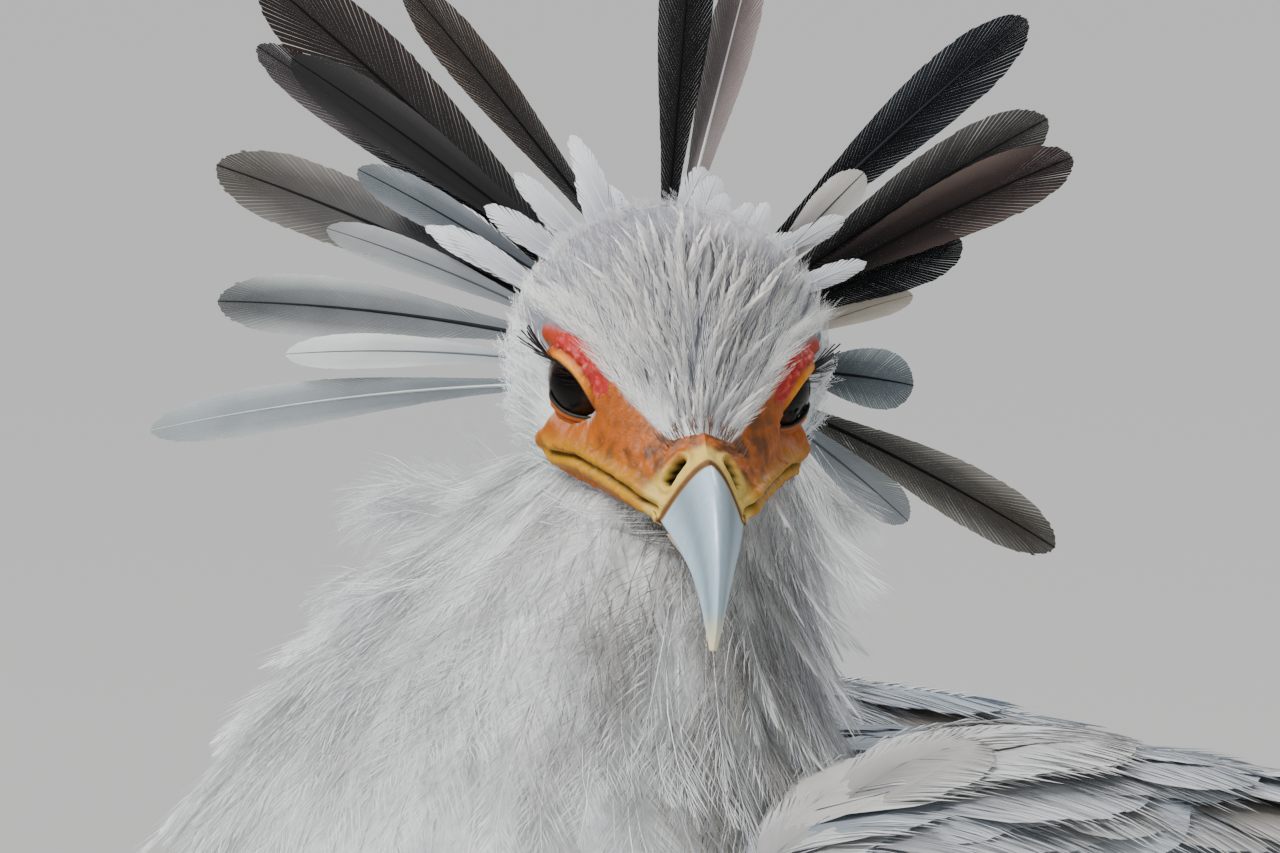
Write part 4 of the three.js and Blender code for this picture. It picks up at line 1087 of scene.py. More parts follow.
class BIRD_OT_skin(bpy.types.Operator):
    """One skin over the whole body, with the bare face, lids, nostrils and lips, and scaled legs and feet"""

    bl_idname = "bird.skin"
    bl_label = "Skin"

    def execute(self, context):
        parts = shared_skin()
        rings, tint = face_rings()
        points, faces = loft(rings)
        tint = with_ends(tint)
        tree = BVHTree.FromPolygons(points.tolist(), faces.tolist())
        parts.append((in_head(points), faces, tint))
        for side in SIDES.values():
            parts.append(lid_patch(side, tree))
            legs = hue("legs")
            for rings in [sampled(leg_at(SHANK, side), 120, 28)] + [toe_rings(side, *row) for row in TOES]:
                p, f = loft(rings)
                parts.append((p, f, np.broadcast_to(legs, (len(p), 3))))
            ankle = foot_place(side) + np.array([[0, 3, 0.4], [0, 2, 6], [0, 2, 12], [0, 2, 18]])
            p, f = tube(ankle, [11, 13, 12, 10], 24)
            p[:, 2] = np.maximum(p[:, 2], OVER_FLOOR)
            parts.append((p, f, np.broadcast_to(legs, (len(p), 3))))
        points, faces, tints = joined(parts)
        print(f"skin: {len(faces)} triangles")
        settle(make_piece("skin", points, faces, "bare_skin", tints), "plumage", *FLESH)
        return {"FINISHED"}


class BIRD_OT_eyes(bpy.types.Operator):
    """Both eyes, with a dark iris, a wide pupil and a slightly raised cornea"""

    bl_idname = "bird.eyes"
    bl_label = "Eyes"

    def execute(self, context):
        for word, side in SIDES.items():
            centre, out, longways, crossways = eye_axes(side)
            d, a = np.meshgrid(np.linspace(0, np.pi, 49)[1:-1], round_turns(64), indexing="ij")
            radius = (EYE["radius"] - 0.1) + 0.5 * smooth((0.75 - d) / 0.4)
            way = (np.cos(d)[..., None] * out + (np.sin(d) * np.cos(a))[..., None] * longways
                   + (np.sin(d) * np.sin(a))[..., None] * crossways)
            points, faces = loft(centre + radius[..., None] * way)
            angle = np.arccos(np.clip(unit(points - centre) @ out, -1, 1))
            iris = mix(linear("#050303"), linear("#2a180c"), smooth((angle - 0.38) / 0.08)[:, None])
            tint = mix(iris, linear("#080605"), smooth((angle - 0.62) / 0.1)[:, None])
            piece = make_piece(f"eyeball_{word}", points, faces, "wet_eye", tint)
            settle(piece, "eye", f"eye_{word}")
        return {"FINISHED"}


def bill_rings(rows, count, sides):
    """Rings of half a bill, each one's share of the way to the tip, and its points' share of the height."""
    share_of = np.linspace(0, 1, count)
    ridge_f, ridge_u, edge_f, edge_u, half = np.moveaxis(along(rows, share_of), -1, 0)[..., None]
    across, share = bill_section(round_turns(sides)[None])
    rings = np.stack([across * half, mix(edge_f, ridge_f, share), mix(edge_u, ridge_u, share)], -1)
    return rings, share_of, share


class BIRD_OT_bill(bpy.types.Operator):
    """The hooked upper bill and the lower bill that it closes over"""

    bl_idname = "bird.bill"
    bl_label = "Bill"

    def execute(self, context):
        for name, rows, count in (("bill_upper", UPPER_BILL, 90), ("bill_lower", LOWER_BILL, 30)):
            rings, s, share = bill_rings(rows, count, 56)
            rings[..., 1] += 0.3
            tip = smooth((s - 0.72) / 0.25)[:, None, None]
            base = smooth((0.035 - s) / 0.02)[:, None, None]
            # Painted shade and highlight: each flank is darker along its middle, and the ridge is lighter
            # along the top
            flank = bump_of(share - 0.55, 0.22)[..., None]
            tint = mix(hue("horn"), hue("horn") * 0.55, flank) * np.ones(rings.shape)
            tint = mix(tint, hue("horn") * 1.15, smooth((share - 0.85) / 0.12)[..., None])
            tint = mix(mix(tint, linear("#d8cfa8"), tip), SKIN_COLOURS["bill_line"], base)
            if name == "bill_lower":
                tint = mix(tint, hue("yellow"), 0.6)
            points, faces = loft(in_head(rings))
            tint = with_ends(tint)
            settle(make_piece(f"{name}_horn", points, faces, "bill_horn", tint.clip(0, 1)), "bill", name)
        return {"FINISHED"}


class BIRD_OT_claws(bpy.types.Operator):
    """Eight curved claws"""

    bl_idname = "bird.claws"
    bl_label = "Claws"

    def execute(self, context):
        for name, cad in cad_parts.items():
            if name.startswith("claw_"):
                cad.data.materials.clear()
                cad.data.materials.append(material("claw_horn"))
        return {"FINISHED"}


# Where feathers grow
def head_at(s, turn, lift=0):
    """The head, from the bill (0) back to the nape (1), in the bird's frame."""
    return in_head(skull_at(1 - s, turn, lift))


def distances(points):
    """How far each of a line's points is along it."""
    return np.concatenate([[0], np.cumsum(np.linalg.norm(np.diff(points, axis=0), axis=1))])


def even_turns(at, s, spacing):
    """Turns that lie spacing mm apart round the ring at s."""
    a = np.linspace(0, 2 * np.pi, 129)
    far = distances(at(np.full(129, s), a))
    count = max(int(far[-1] / spacing * sizes().density), 3)
    return np.interp(np.linspace(0, far[-1], count, endpoint=False), far, a)


def rows_along(at, span, spacing, turn=np.pi / 2):
    """Places along a surface, spacing mm apart on the line at a turn."""
    s = np.linspace(*span, 129)
    far = distances(at(s, np.full(129, turn)))
    return np.interp(np.arange(0, far[-1], spacing), far, s)


def speckle(rng, count, amount):
    """A brightness for each feather, round 1."""
    return (1 + rng.uniform(-amount, amount, count))[:, None]


# Each kind of feather: how many forms it has, then what its function takes after rng, in the same order
LOOSE = {
    "crown": (6, 9, pointed(0.45, 0.5), 0.13, 17, 0.018, 0.4, 0.035, 0.03, 0.25, 0.06, 3),
    "cheek": (6, 7, pointed(0.5, 0.6), 0.18, 24, 0.012, 0.8, 0.04, 0.04, 0.2, 0.1, 3),
    "neck": (8, 20, rounded(0.6, 0.5), 0.16, 20, 0.0048, 0.9, 0.02, 0.02, 0.15, 0.15),
    "tuft": (4, 22, rounded(0.65, 0.5), 0.24, 22, 0.0065, 0.9, 0.02, 0.03, 0.1, 0.2, 3),
    "belly": (6, 14, rounded(0.6, 0.6), 0.24, 30, 0.0105, 0.5, 0.02, 0.02, 0.12, 0.08, 3),
}
VANES = {
    "lancet": (6, 6, pointed(0.4, 0.35), 0.08, 16, 0.5, 0.3, 0.05, 0.35, 4, 0.05, 0.06),
    "back": (6, 8, rounded(0.6, 0.6), 0.25, 36, 0.3, 0.2, 0.03, 0.15, 3, 0.1, 0.04),
    "crest": (4, 60, rounded(0.74, 0.24), 0.08, 27, 0.1, 0.04, 0.075, 0.12, 12, 0.04, 0.04),
    "plume": (4, 16, rounded(0.62, 0.45), 0.1, 20, 0.3, 0.12, 0.08, 0.2, 4, 0.05, 0.05),
    "covert": (7, 11, rounded(0.62, 0.55), 0.3, 34, 0.05, 0.05, 0.018, 0.2, 5, 0.05, 0.01, 1, 19),
    "flight": (3, 46, rounded(0.8, 0.6), 0.08, 30, 0.08, 0.03, 0.045, 0.12, 8),
    "tail": (2, 110, rounded(0.85, 0.75), 0.035, 30, 0.08, 0.03, 0.07, 0.1, 14, 0.02, 0.04),
    "tail_covert": (4, 12, rounded(0.6, 0.6), 0.24, 34, 0.45, 0.2, 0.03, 0.15, 4, 0.1, 0.04),
    "thigh": (5, 5, rounded(0.6, 0.6), 0.22, 32, 0.5, 0.25, 0.04, 0.2, 3, 0.1, 0.06),
}


def forms_of(kind, rng):
    """The forms of one kind of feather."""
    make, (count, *given) = (vane_form, VANES[kind]) if kind in VANES else (loose_form, LOOSE[kind])
    return [make(rng, *given) for _ in range(count)]


def crown_edge(forward):
    """How high on the head the crown's feathers start."""
    return np.interp(forward, [-20, 0, 12, 34], [2, 9, 9, 0])


def on_forehead(forward, left):
    """(s, turn) on head_at of places on the top of the head."""
    grid = np.linspace(0, 1, 400)
    s = np.interp(forward, along(SKULL, grid)[:, 0], grid)
    half, peak = along(SKULL, s)[:, 1], along(SKULL, s)[:, 5]
    turn = np.arccos(np.clip(np.abs(left) / half, 0, 1) ** (1 / peak))
    return 1 - s, np.where(left > 0, turn, np.pi - turn)


BROW_FEATHERS, LANCETS = 110, 150


class BIRD_OT_head_feathers(bpy.types.Operator):
    """Fine soft feathers over the crown, cheeks and throat, and longer pale ones along the brows"""

    bl_idname = "bird.head_feathers"
    bl_label = "Head feathers"

    def execute(self, context):
        rng = np.random.default_rng(11)
        rows = rows_along(head_at, (0.1, 0.97), 2.7)
        s, turn = scatter(rng, head_at, rows, 2.5, 0.5).T
        place = skull_at(1 - s, turn)
        keep = bareness(place) < 0.5
        s, turn, place = s[keep], turn[keep], place[keep]
        crown = place[:, 2] > crown_edge(place[:, 1])
        self.crown(rng, s[crown], turn[crown])
        self.cheeks(rng, s[~crown], turn[~crown], place[~crown])
        return {"FINISHED"}

    def crown(self, rng, s, turn):
        forms = forms_of("crown", rng)
        brow = rng.uniform(-4, 30.5, BROW_FEATHERS)
        left = np.interp(brow, *np.transpose(FOREHEAD)) + rng.uniform(-1.6, 0.6, BROW_FEATHERS)
        brow_s, brow_turn = on_forehead(brow, left * np.tile([1, -1], BROW_FEATHERS // 2))
        s, turn = np.concatenate([s, brow_s]), np.concatenate([turn, brow_turn])
        place, count = skull_at(1 - s, turn), len(s)
        length = np.interp(place[:, 1], [-40, -12, 4, 16, 25, 31], [12, 9.5, 12, 13.5, 9.5, 5.5])
        length = length * rng.uniform(0.75, 1.25, count)
        edge = np.arange(count) >= count - BROW_FEATHERS
        side = np.sign(place[:, 0])
        rise = rng.uniform(0.2, 1.9, count) * length / 12 + 1.7 * edge
        wander = rng.normal(0, 0.9, (count, 3)) * (length / 12)[:, None]
        wander += (side * (2.2 * edge + 0.4) * length / 10)[:, None] * HEAD[0]
        paths, facing = lay(head_at, s, turn, length, (-1.8, rise * 0.5 - 0.8, rise - 0.3), wander)
        light = 0.4 + 0.5 * smooth((place[:, 1] + 8) / 22) * rng.uniform(0.3, 1, count) + 0.1 * edge
        shade = speckle(rng, count, 0.08)
        fade = np.interp(place[:, 1], [-20, 12], [30, 14])
        low = smooth(1.15 - (place[:, 2] - crown_edge(place[:, 1])) / fade)[:, None]
        own = mix(hue("crown"), hue("white") * 0.9, low)
        base, tip = own * shade, mix(own, hue("cream"), light[:, None]) * shade
        coat = Coat(seed=21)
        coat.add(forms, paths, facing, length * 0.115, (base, tip, mix(base, tip, 0.4), mix(base, tip, 0.8)),
                 atlas(s, turn))
        self.lancets(rng, coat)
        coat.piece("crown_feathers", "soft_feather")

    def lancets(self, rng, coat):
        """Longer pale feathers that stand out from the forehead with their tips curled up."""
        forms = forms_of("lancet", rng)
        forward = rng.uniform(0, 29.5, LANCETS)
        left = np.interp(forward, *np.transpose(FOREHEAD)) * rng.uniform(-0.85, 0.85, LANCETS)
        s, turn = on_forehead(forward, left)
        length = np.interp(forward, [2, 14, 24, 30], [12, 15, 12, 7.5]) * rng.uniform(0.75, 1.25, LANCETS)
        curl = rng.uniform(0.8, 4, LANCETS) * length / 13
        sideways = rng.normal(0, 2.4, LANCETS) * length / 13
        wander = rng.normal(0, 0.9, (LANCETS, 3)) + np.outer(sideways + left * 0.09, HEAD[0])
        paths, facing = lay(head_at, s, turn, length, (-1.6, curl * 0.25, curl), wander)
        pale = mix(hue("crown"), hue("cream"), rng.uniform(0.35, 1, LANCETS)[:, None])
        half = length * rng.uniform(0.055, 0.085, LANCETS)
        coat.add(forms, paths, facing, half, (hue("crown") * 0.8, pale, pale, pale), atlas(s, turn))

    def cheeks(self, rng, s, turn, place):
        forms = forms_of("cheek", rng)
        count = len(s)
        length = (15.5 - 7.5 * smooth((place[:, 1] + 2) / 22)) * rng.uniform(0.7, 1.35, count)
        rise = rng.uniform(0.8, 2.6, count) * length / 12
        wander = rng.normal(0, 0.9, (count, 3)) * (length / 12)[:, None]
        wander = wander - np.array([0, 0, 0.3]) * length[:, None]
        paths, facing = lay(head_at, s, turn, length, (-2.0, rise * 0.4 - 0.8, rise - 0.4), wander)
        white = mix(hue("white"), hue("crown"), 0.2 * rng.uniform(0, 1, count)[:, None])
        white = white * speckle(rng, count, 0.07)
        coat = Coat(seed=21)
        coat.add(forms, paths, facing, length * 0.17, (white * 0.85, white, white, white), atlas(s, turn))
        coat.piece("cheek_feathers", "soft_feather")


TUFTS = [  # root's place to the right and up, way in degrees, length, curl and number
    [-50, -22, 176, 25, 6, 12], [-56, -42, 196, 21, 4, 11], [-62, -57, 208, 17, 3, 9],
    [-48, -12, 152, 13, 0, 6], [26, -28, -72, 25, 3, 9], [31, -20, -50, 17, 2, 7], [-24, -28, -14, 24, 3, 8],
]
NECK_PARTS = {"neck_feathers_upper": ((0.02, 0.45), 8.2), "neck_feathers_lower": ((0.42, 1.0), 10.3)}


class BIRD_OT_neck_feathers(bpy.types.Operator):
    """Loose feathers of the neck and the ruff that stands out behind it"""

    bl_idname = "bird.neck_feathers"
    bl_label = "Neck feathers"

    def execute(self, context):
        rng = np.random.default_rng(12)
        forms = forms_of("neck", rng)
        for name, (span, step) in NECK_PARTS.items():
            coat = Coat(seed=22)
            rows = rows_along(neck_at, span, step, -np.pi / 2)
            s, turn = scatter(rng, neck_at, rows, 0.85 * step, 0.5).T
            count = len(s)
            length = rng.uniform(34, 50, count) * np.interp(s, [0, 0.3, 1], [0.7, 0.95, 1.05])
            deep = rng.uniform(0, 1, count)
            tip = 0.5 + 8.5 * (1 - deep) + 9 * (rng.uniform(0, 1, count) > 0.88)
            at = neck_at(s, turn)
            drift = np.stack([wrinkles(at, 16, seed) for seed in (1.5, 20.5, 40.5)], -1) * 8
            wander = drift + rng.normal(0, 1.8, (count, 3))
            paths, facing = lay(neck_at, s, turn, length, (-7, tip * 0.3 - 3, tip), wander)
            right = (at - HEAD_PLACE) @ FAN_RIGHT
            toward = np.stack([np.cos(turn), np.sin(turn)], -1) @ FAN_TOWARD[:2]
            # Deep feathers are greyed with the down colour, most strongly in the middle of the front under
            # the bill: real grey down, deepened there as painted shade under the bill
            shade_under_bill = bump_of(right - 4, 30) * smooth(toward * 2)
            dark = smooth((deep - 0.35) / 0.3) * mix(0.3, 1, shade_under_bill) * (1 - smooth((s - 0.62) / 0.25))
            # Painted shadow of the head: feathers just under the chin that face the camera are darkened with
            # the down colour
            chin = bump_of((at - HEAD_PLACE) @ FAN_UP + 36, 24) * bump_of(right + 4, 34) * smooth(toward * 2)
            dark = np.maximum(dark, 0.5 * chin * rng.uniform(0.5, 1.3, count))[:, None]
            white = mix(hue("white"), hue("down"), dark) * speckle(rng, count, 0.06)
            # The roots are painted half as bright, as painted shade between the strands
            coat.add(forms, paths, facing, length * 0.2, (white * 0.5, white, white, white), atlas(s, turn))
            if name == "neck_feathers_upper":
                self.tufts(rng, coat)
            coat.piece(name, "soft_feather")
        return {"FINISHED"}

    def tufts(self, rng, coat):
        """Tufts that stand out of the ruff at both sides of the neck."""
        forms = forms_of("tuft", rng)
        grid = sampled(neck_at, 60, 72).reshape(-1, 3)
        right, up, toward = ((grid - HEAD_PLACE) @ axis for axis in (FAN_RIGHT, FAN_UP, FAN_TOWARD))
        for from_right, from_up, way, length, curl, count in TUFTS:
            near = np.argmin((right - from_right) ** 2 + (up - from_up) ** 2 - 0.5 * toward)
            angle = rad(way + rng.uniform(-17, 17, count))
            long = length * rng.uniform(0.8, 1.1, count)
            run = np.outer(np.cos(angle), FAN_RIGHT) + np.outer(np.sin(angle), FAN_UP)
            run += np.outer(rng.uniform(-0.25, 0.25, count), FAN_TOWARD)
            across = np.outer(-np.sin(angle), FAN_RIGHT) + np.outer(np.cos(angle), FAN_UP)
            root = grid[near] + rng.normal(0, 2.2, (count, 3)) - run * 5 - FAN_TOWARD * 5
            half_way = root + run * (long / 2 + 4)[:, None]
            tip = root + run * (long + 6)[:, None] + across * curl + FAN_TOWARD * 6
            facing = unit(FAN_TOWARD + rng.normal(0, 0.3, (count, 3)))
            white = hue("white") * speckle(rng, count, 0.04)
            coat.add(forms, (root, half_way, tip), facing, long * 0.24, (white * 0.7, white, white, white),
                     rng.uniform(0.4, 0.6, (count, 2)))


BREAST_SPOTS, HANGING_FEATHERS = 800, 170  # places tried on the breast, and feathers hung over it


class BIRD_OT_body_feathers(bpy.types.Operator):
    """Breast, belly, back and rump"""

    bl_idname = "bird.body_feathers"
    bl_label = "Body feathers"

    def execute(self, context):
        rng = np.random.default_rng(13)
        vanes, soft = forms_of("back", rng), forms_of("belly", rng)
        spots = scatter(rng, torso_at, rows_along(torso_at, (0.14, 0.99), 15, 0), 14, 0.4)
        for cover in [wing_at(side) for side in SIDES.values()] + [neck_at]:
            tree = tree_of(cover)
            spots = spots[depth_in(tree, torso_at(*spots.T)) < 3]
            middle = torso_at(np.minimum(spots[:, 0] + 0.055, 1), spots[:, 1], 1)
            spots = spots[depth_in(tree, middle) < 1.5]
        for name, forms, upper in (("back_feathers", vanes, True), ("belly_feathers", soft, False)):
            s, turn = spots[(np.sin(spots[:, 1]) > 0) == upper].T
            count = len(s)
            length = rng.uniform(46, 62, count)
            tip = rng.uniform(1, 5, count)
            wander = np.array([0, 0, -1.0]) * (4 + rng.normal(0, 2, (count, 1)))
            paths, facing = lay(torso_at, s, turn, length, (-6, tip * 0.4 - 2, tip), wander)
            base = body_tint(torso_at(s, turn), turn) * speckle(rng, count, 0.07)
            coat = Coat(seed=23)
            tints = base * 0.8, base, base * 1.04, base
            coat.add(forms, paths, facing, length * 0.25, tints, atlas(s, turn))
            coat.piece(name, "soft_feather")
        coat = Coat(seed=31)
        self.breast(rng, coat, soft)
        coat.piece("breast_feathers", "soft_feather")
        return {"FINISHED"}

    def breast(self, rng, coat, forms):
        """Feathers over the breast, which hang down from the neck and close over the front of the torso."""
        tree = tree_of(torso_at, neck_at)
        s, turn = rng.uniform(0.004, 0.26, BREAST_SPOTS), rng.uniform(0, 2 * np.pi, BREAST_SPOTS)
        roots = torso_at(s, turn)
        dense = rng.uniform(0, 1, BREAST_SPOTS) < np.interp(s, [0, 0.12, 0.26], [0.25, 0.6, 0.9])
        keep = (roots[:, 1] < -125) & dense
        high = rng.uniform(0.84, 0.97, HANGING_FEATHERS)
        around = rad(-90 + rng.uniform(-85, 85, HANGING_FEATHERS))
        roots = np.concatenate([roots[keep], neck_at(high, around)])
        patch = np.concatenate([np.stack([s[keep], turn[keep]]), np.stack([high * 0.1, around])], 1)
        count, hung = len(roots), np.arange(len(roots)) >= keep.sum()
        way = unit(np.stack([(roots[:, 0] - 15) / 260, np.full(count, 0.25), np.full(count, -1.0)], -1)
                   + rng.normal(0, 0.06, (count, 3)))
        length = rng.uniform(44, 60, count) * np.where(hung, 1.25, 1)
        (root, half_way, tip), facing = hang(tree, roots, way, length,
                                             (-6, rng.uniform(-1, 1.5, count), rng.uniform(0, 5, count)))
        half_way[hung] = (root + tip)[hung] / 2 + facing[hung] * 4
        white = hue("white") * speckle(rng, count, 0.06)
        coat.add(forms, (root, half_way, tip), facing, length * 0.24, (white * 0.75, white, white, white),
                 atlas(*patch))


CREST = [  # root's angle on the nape, tip's place, half width, lean and colours of base, tip, edge and shaft
    [-98, -118, -8, 5.3, 28, "#868c91", "#a2a8ab", "#babec0", "#c9cbcb"],
    [-88, -87, 9, 4, 24, "#b0b4b7", "#cdd0d0", "#d9dbdb", "#84888b"],
    [-78, -103, 21, 7, 34, "#84888b", "#676a6c", "#b9bcbc", "#3a3c3f"],
    [-70, -78, 37, 4, 30, "#82868a", "#9b9e9f", "#adb0b0", "#64686c"],
    [-66, -104, 52, 8.2, 40, "#66676a", "#5c5956", "#85827f", "#262628"],
    [-56, -71, 50, 4.6, 26, "#60656a", "#707579", "#91959a", "#34373b"],
    [-52, -95, 79, 5.6, 40, "#262427", "#454143", "#625d60", "#181719"],
    [-44, -86, 75, 6, 26, "#0f0f12", "#2c2b2d", "#4e4c4d", "#0a0a0b"],
    [-46, -94, 95, 9.5, 38, "#141315", "#2e2523", "#41342f", "#0c0b0b"],
    [-24, -61, 92, 5.4, 30, "#131215", "#33281f", "#4a3b33", "#0d0c0c"],
    [-2, 4, 111, 6.2, 30, "#0e0e11", "#1a1a1e", "#2a2a2e", "#08080a"],
    [5, 17, 99, 5.4, 38, "#8d8786", "#857a79", "#a39896", "#e3e1e0"],
    [42, 78, 84, 7, 28, "#101217", "#22262c", "#3a3f45", "#3c4046"],
    [50, 41, 49, 4.5, 24, "#716e6e", "#b9b6b2", "#c9c6c3", "#5c5958"],
    [56, 83, 62, 7.4, 36, "#4c4a4c", "#625e5c", "#7e7b79", "#2c2a2b"],
    [61, 88, 53, 7.2, 28, "#1d1a1b", "#4b4140", "#786c68", "#151213"],
    [69, 63, 34, 6.2, 32, "#14161b", "#20242b", "#2f343b", "#0e0f12"],
    [78, 52, 22, 3, 36, "#b9b2a8", "#c9c1b6", "#d6cfc5", "#a29a90"],
    [92, 52, 2, 6.8, 30, "#5c6368", "#7a8287", "#a2a9ac", "#2b2f33"],
    [107, 84, -34, 6.6, 28, "#5f5e5b", "#68635d", "#a9a69f", "#2a2827"],
    [112, 51, -28, 5, 34, "#9fa4a9", "#b6babd", "#cfd2d4", "#7e8287"],
]
CREST_DEEPEN = 1.45  # the studio's light is paler than the photograph's, so the colours are a power darker
# Plumes in front of the quills: root's angle, tip's place, half width and lean
PLUMES = [[-46, -43, 42, 3, 20], [-28, -26, 58, 2.8, 18], [-18, -14, 47, 2.4, 18], [6, 4, 54, 3.6, 24],
          [20, 12, 45, 2.4, 18], [30, 18, 40, 2.4, 18], [-60, -50, 36, 2.6, 20], [-37, -33, 47, 2.6, 18],
          [-6, -6, 41, 2.2, 16], [38, 27, 37, 2.4, 18], [13, 9, 47, 2.8, 20], [-23, -20, 50, 2.4, 22],
          [45, 33, 40, 2.6, 22], [-52, -52, 46, 2.8, 26], [58, 38, 30, 2.4, 22]]


def crest_paths(rows):
    """Roots, middles and tips of the crest's feathers."""
    angle, right, up, _, lean = np.array([r[:5] for r in rows], float).T
    a = rad(angle)
    from_right, from_up = NAPE["right"] + NAPE["across"] * np.sin(a), NAPE["up"] + NAPE["high"] * np.cos(a)
    reach = np.hypot(right - from_right, up - from_up)
    root = in_fan(from_right, from_up, np.full(len(a), NAPE["back"] - 1.5))
    tip = in_fan(right, up, NAPE["back"] + reach * np.tan(rad(lean)))
    bow = np.outer(0.05 * reach * np.sin(a) * np.sign(angle), FAN_UP)
    return root, (root + tip) / 2 + bow / 2, tip


class BIRD_OT_crest(bpy.types.Operator):
    """The crest's long quills and the short plumes in front of them"""

    bl_idname = "bird.crest"
    bl_label = "Crest"

    def execute(self, context):
        rng = np.random.default_rng(14)
        quills = Coat(seed=24)
        forms = forms_of("crest", rng)
        half = np.array([row[3] for row in CREST])
        tints = [np.array([linear(row[k]) for row in CREST]) ** CREST_DEEPEN for k in (5, 6, 7, 8)]
        column, row = np.arange(len(CREST)) % 11, np.arange(len(CREST)) // 11
        cells = np.stack([column / 11, row / 2], -1)
        quills.add(forms, crest_paths(CREST), FAN_TOWARD, half, tints, cells, (0.085, 0.48))
        quills.piece("crest_quills", "vane_feather")
        plumes = Coat(seed=25)
        forms = forms_of("plume", rng)
        rows = []
        for k, low_rows in enumerate((PLUMES, PLUMES[:10])):
            for angle, right, up, half, lean in low_rows:
                root, aside = angle + rng.normal(0, 4), right + rng.normal(0, 3)
                rows.append([root, aside, up * rng.uniform(0.86, 1.04) + 1, half, lean + k * 3])
        half = np.array([row[3] for row in rows]) * 1.05
        white = mix(hue("white"), hue("crown"), 0.4) * speckle(rng, len(rows), 0.08)
        cells = np.stack([np.linspace(0.1, 0.9, len(rows)), np.full(len(rows), 0.5)], -1)
        tints = hue("crown"), white, white, white * 0.9
        plumes.add(forms, crest_paths(rows), FAN_TOWARD, half, tints, cells)
        plumes.piece("crown_plumes", "soft_feather")
        return {"FINISHED"}


# The wing's rows, from the shoulder back: share of the wing's length at the first and last root, their turns,
# how many feathers, length, half width, height of the tips over the wing and turn gained
WING_ROWS = [
    [(0.03 + 0.024 * k, 0.03 + 0.022 * k), (14, 142), 13, 44 + 2 * k, 15, 4.2, 0] for k in range(7)
] + [
    [(0.20, 0.19), (14, 142), 13, 62, 17, 4.2, 0], [(0.235, 0.22), (12, 142), 13, 72, 18, 4.2, -1],
    [(0.30, 0.27), (10, 142), 13, 98, 18.5, 3.8, -4], [(0.43, 0.38), (2, 146), 15, 190, 17, 2.5, -9],
    [(0.53, 0.5), (62, 150), 10, 265, 12, 0.5, -12],
]
SCAPULARS = [[(0.03 + 0.045 * k, 0.06 + 0.045 * k), (-58, 16), 6, 70 + 7 * k, 23, 5.6, 3] for k in range(6)]
FLIGHT_LENGTH = 150  # rows of longer feathers are flight feathers


class BIRD_OT_wings(bpy.types.Operator):
    """Both folded wings: coverts in tiers, scapulars, secondaries and primaries"""

    bl_idname = "bird.wings"
    bl_label = "Wings"

    def execute(self, context):
        rng = np.random.default_rng(15)
        coverts, quills = forms_of("covert", rng), forms_of("flight", rng)
        for word, side in SIDES.items():
            coat = Coat(seed=26)
            for row in WING_ROWS + SCAPULARS:
                self.row(rng, coat, wing_at(side), quills if row[3] > FLIGHT_LENGTH else coverts, *row)
            coat.piece(f"wing_feathers_{word}", "vane_feather", "wing_feathers")
        return {"FINISHED"}

    def row(self, rng, coat, at, forms, starts, turns, count, length, half, rise, gain):
        """One row of feathers. The long black flight feathers lie closer and more evenly than the coverts."""
        flight = length > FLIGHT_LENGTH
        u = np.linspace(0, 1, count) + rng.uniform(-0.15, 0.15, count) / count
        loose = 0.15 if flight else 1
        s = mix(*starts, u) + loose * rng.normal(0, 0.005, count)
        astray = loose * rng.uniform(-0.35, 0.35, count) * (turns[1] - turns[0]) / count
        turn = rad(mix(*turns, u) + astray)
        long = length * rng.uniform(0.92, 1.06, count) * (1 - 0.25 * u * (length > 90))
        tip = rise + np.linspace(1.6, 0, count) + rng.uniform(-0.4, 0.4, count)
        wander = rng.normal(0, 1.5, (count, 3)) * (length < 110)
        lifts = (-4, tip * 0.7, tip) if flight else (0.5, tip * 0.75, tip)
        paths, facing = lay(at, s, turn, long, lifts, wander, rad(gain), tilt=0.13 if flight else 0.02)
        grey = mix(hue("grey"), hue("dun"), smooth(rng.uniform(-0.6, 1.2, count))[:, None])
        grey = mix(grey, hue("white"), 0.35 * rng.uniform(0, 1, count)[:, None] ** 2)
        base = (np.tile(hue("black"), (count, 1)) if flight else grey) * speckle(rng, count, 0.14)
        edge, shaft = (base * 1.3, base * 0.6) if flight else (mix(base, hue("white"), 0.5), base * 0.85)
        half_of = half * rng.uniform(0.95, 1.06, count)
        patch = np.stack([(turn / (2 * np.pi) + 0.25) % 1, s], -1) * 0.97
        coat.add(forms, paths, facing, half_of, (base * 0.8, base * 1.1, edge, shaft), patch,
                 0.012 if flight else 0.004)


TAIL_ROOT = 40  # mm from the tail's line to the quills' roots
TAIL_PATCH = (0.02, 0.96)  # where each quill starts on the unwrap, and its length there
TAIL_BANDS = [(0.6, 0.68, "#151518"), (0.84, 0.94, "#151518"), (0.955, 2, "#e9e9e6")]  # from, to and colour


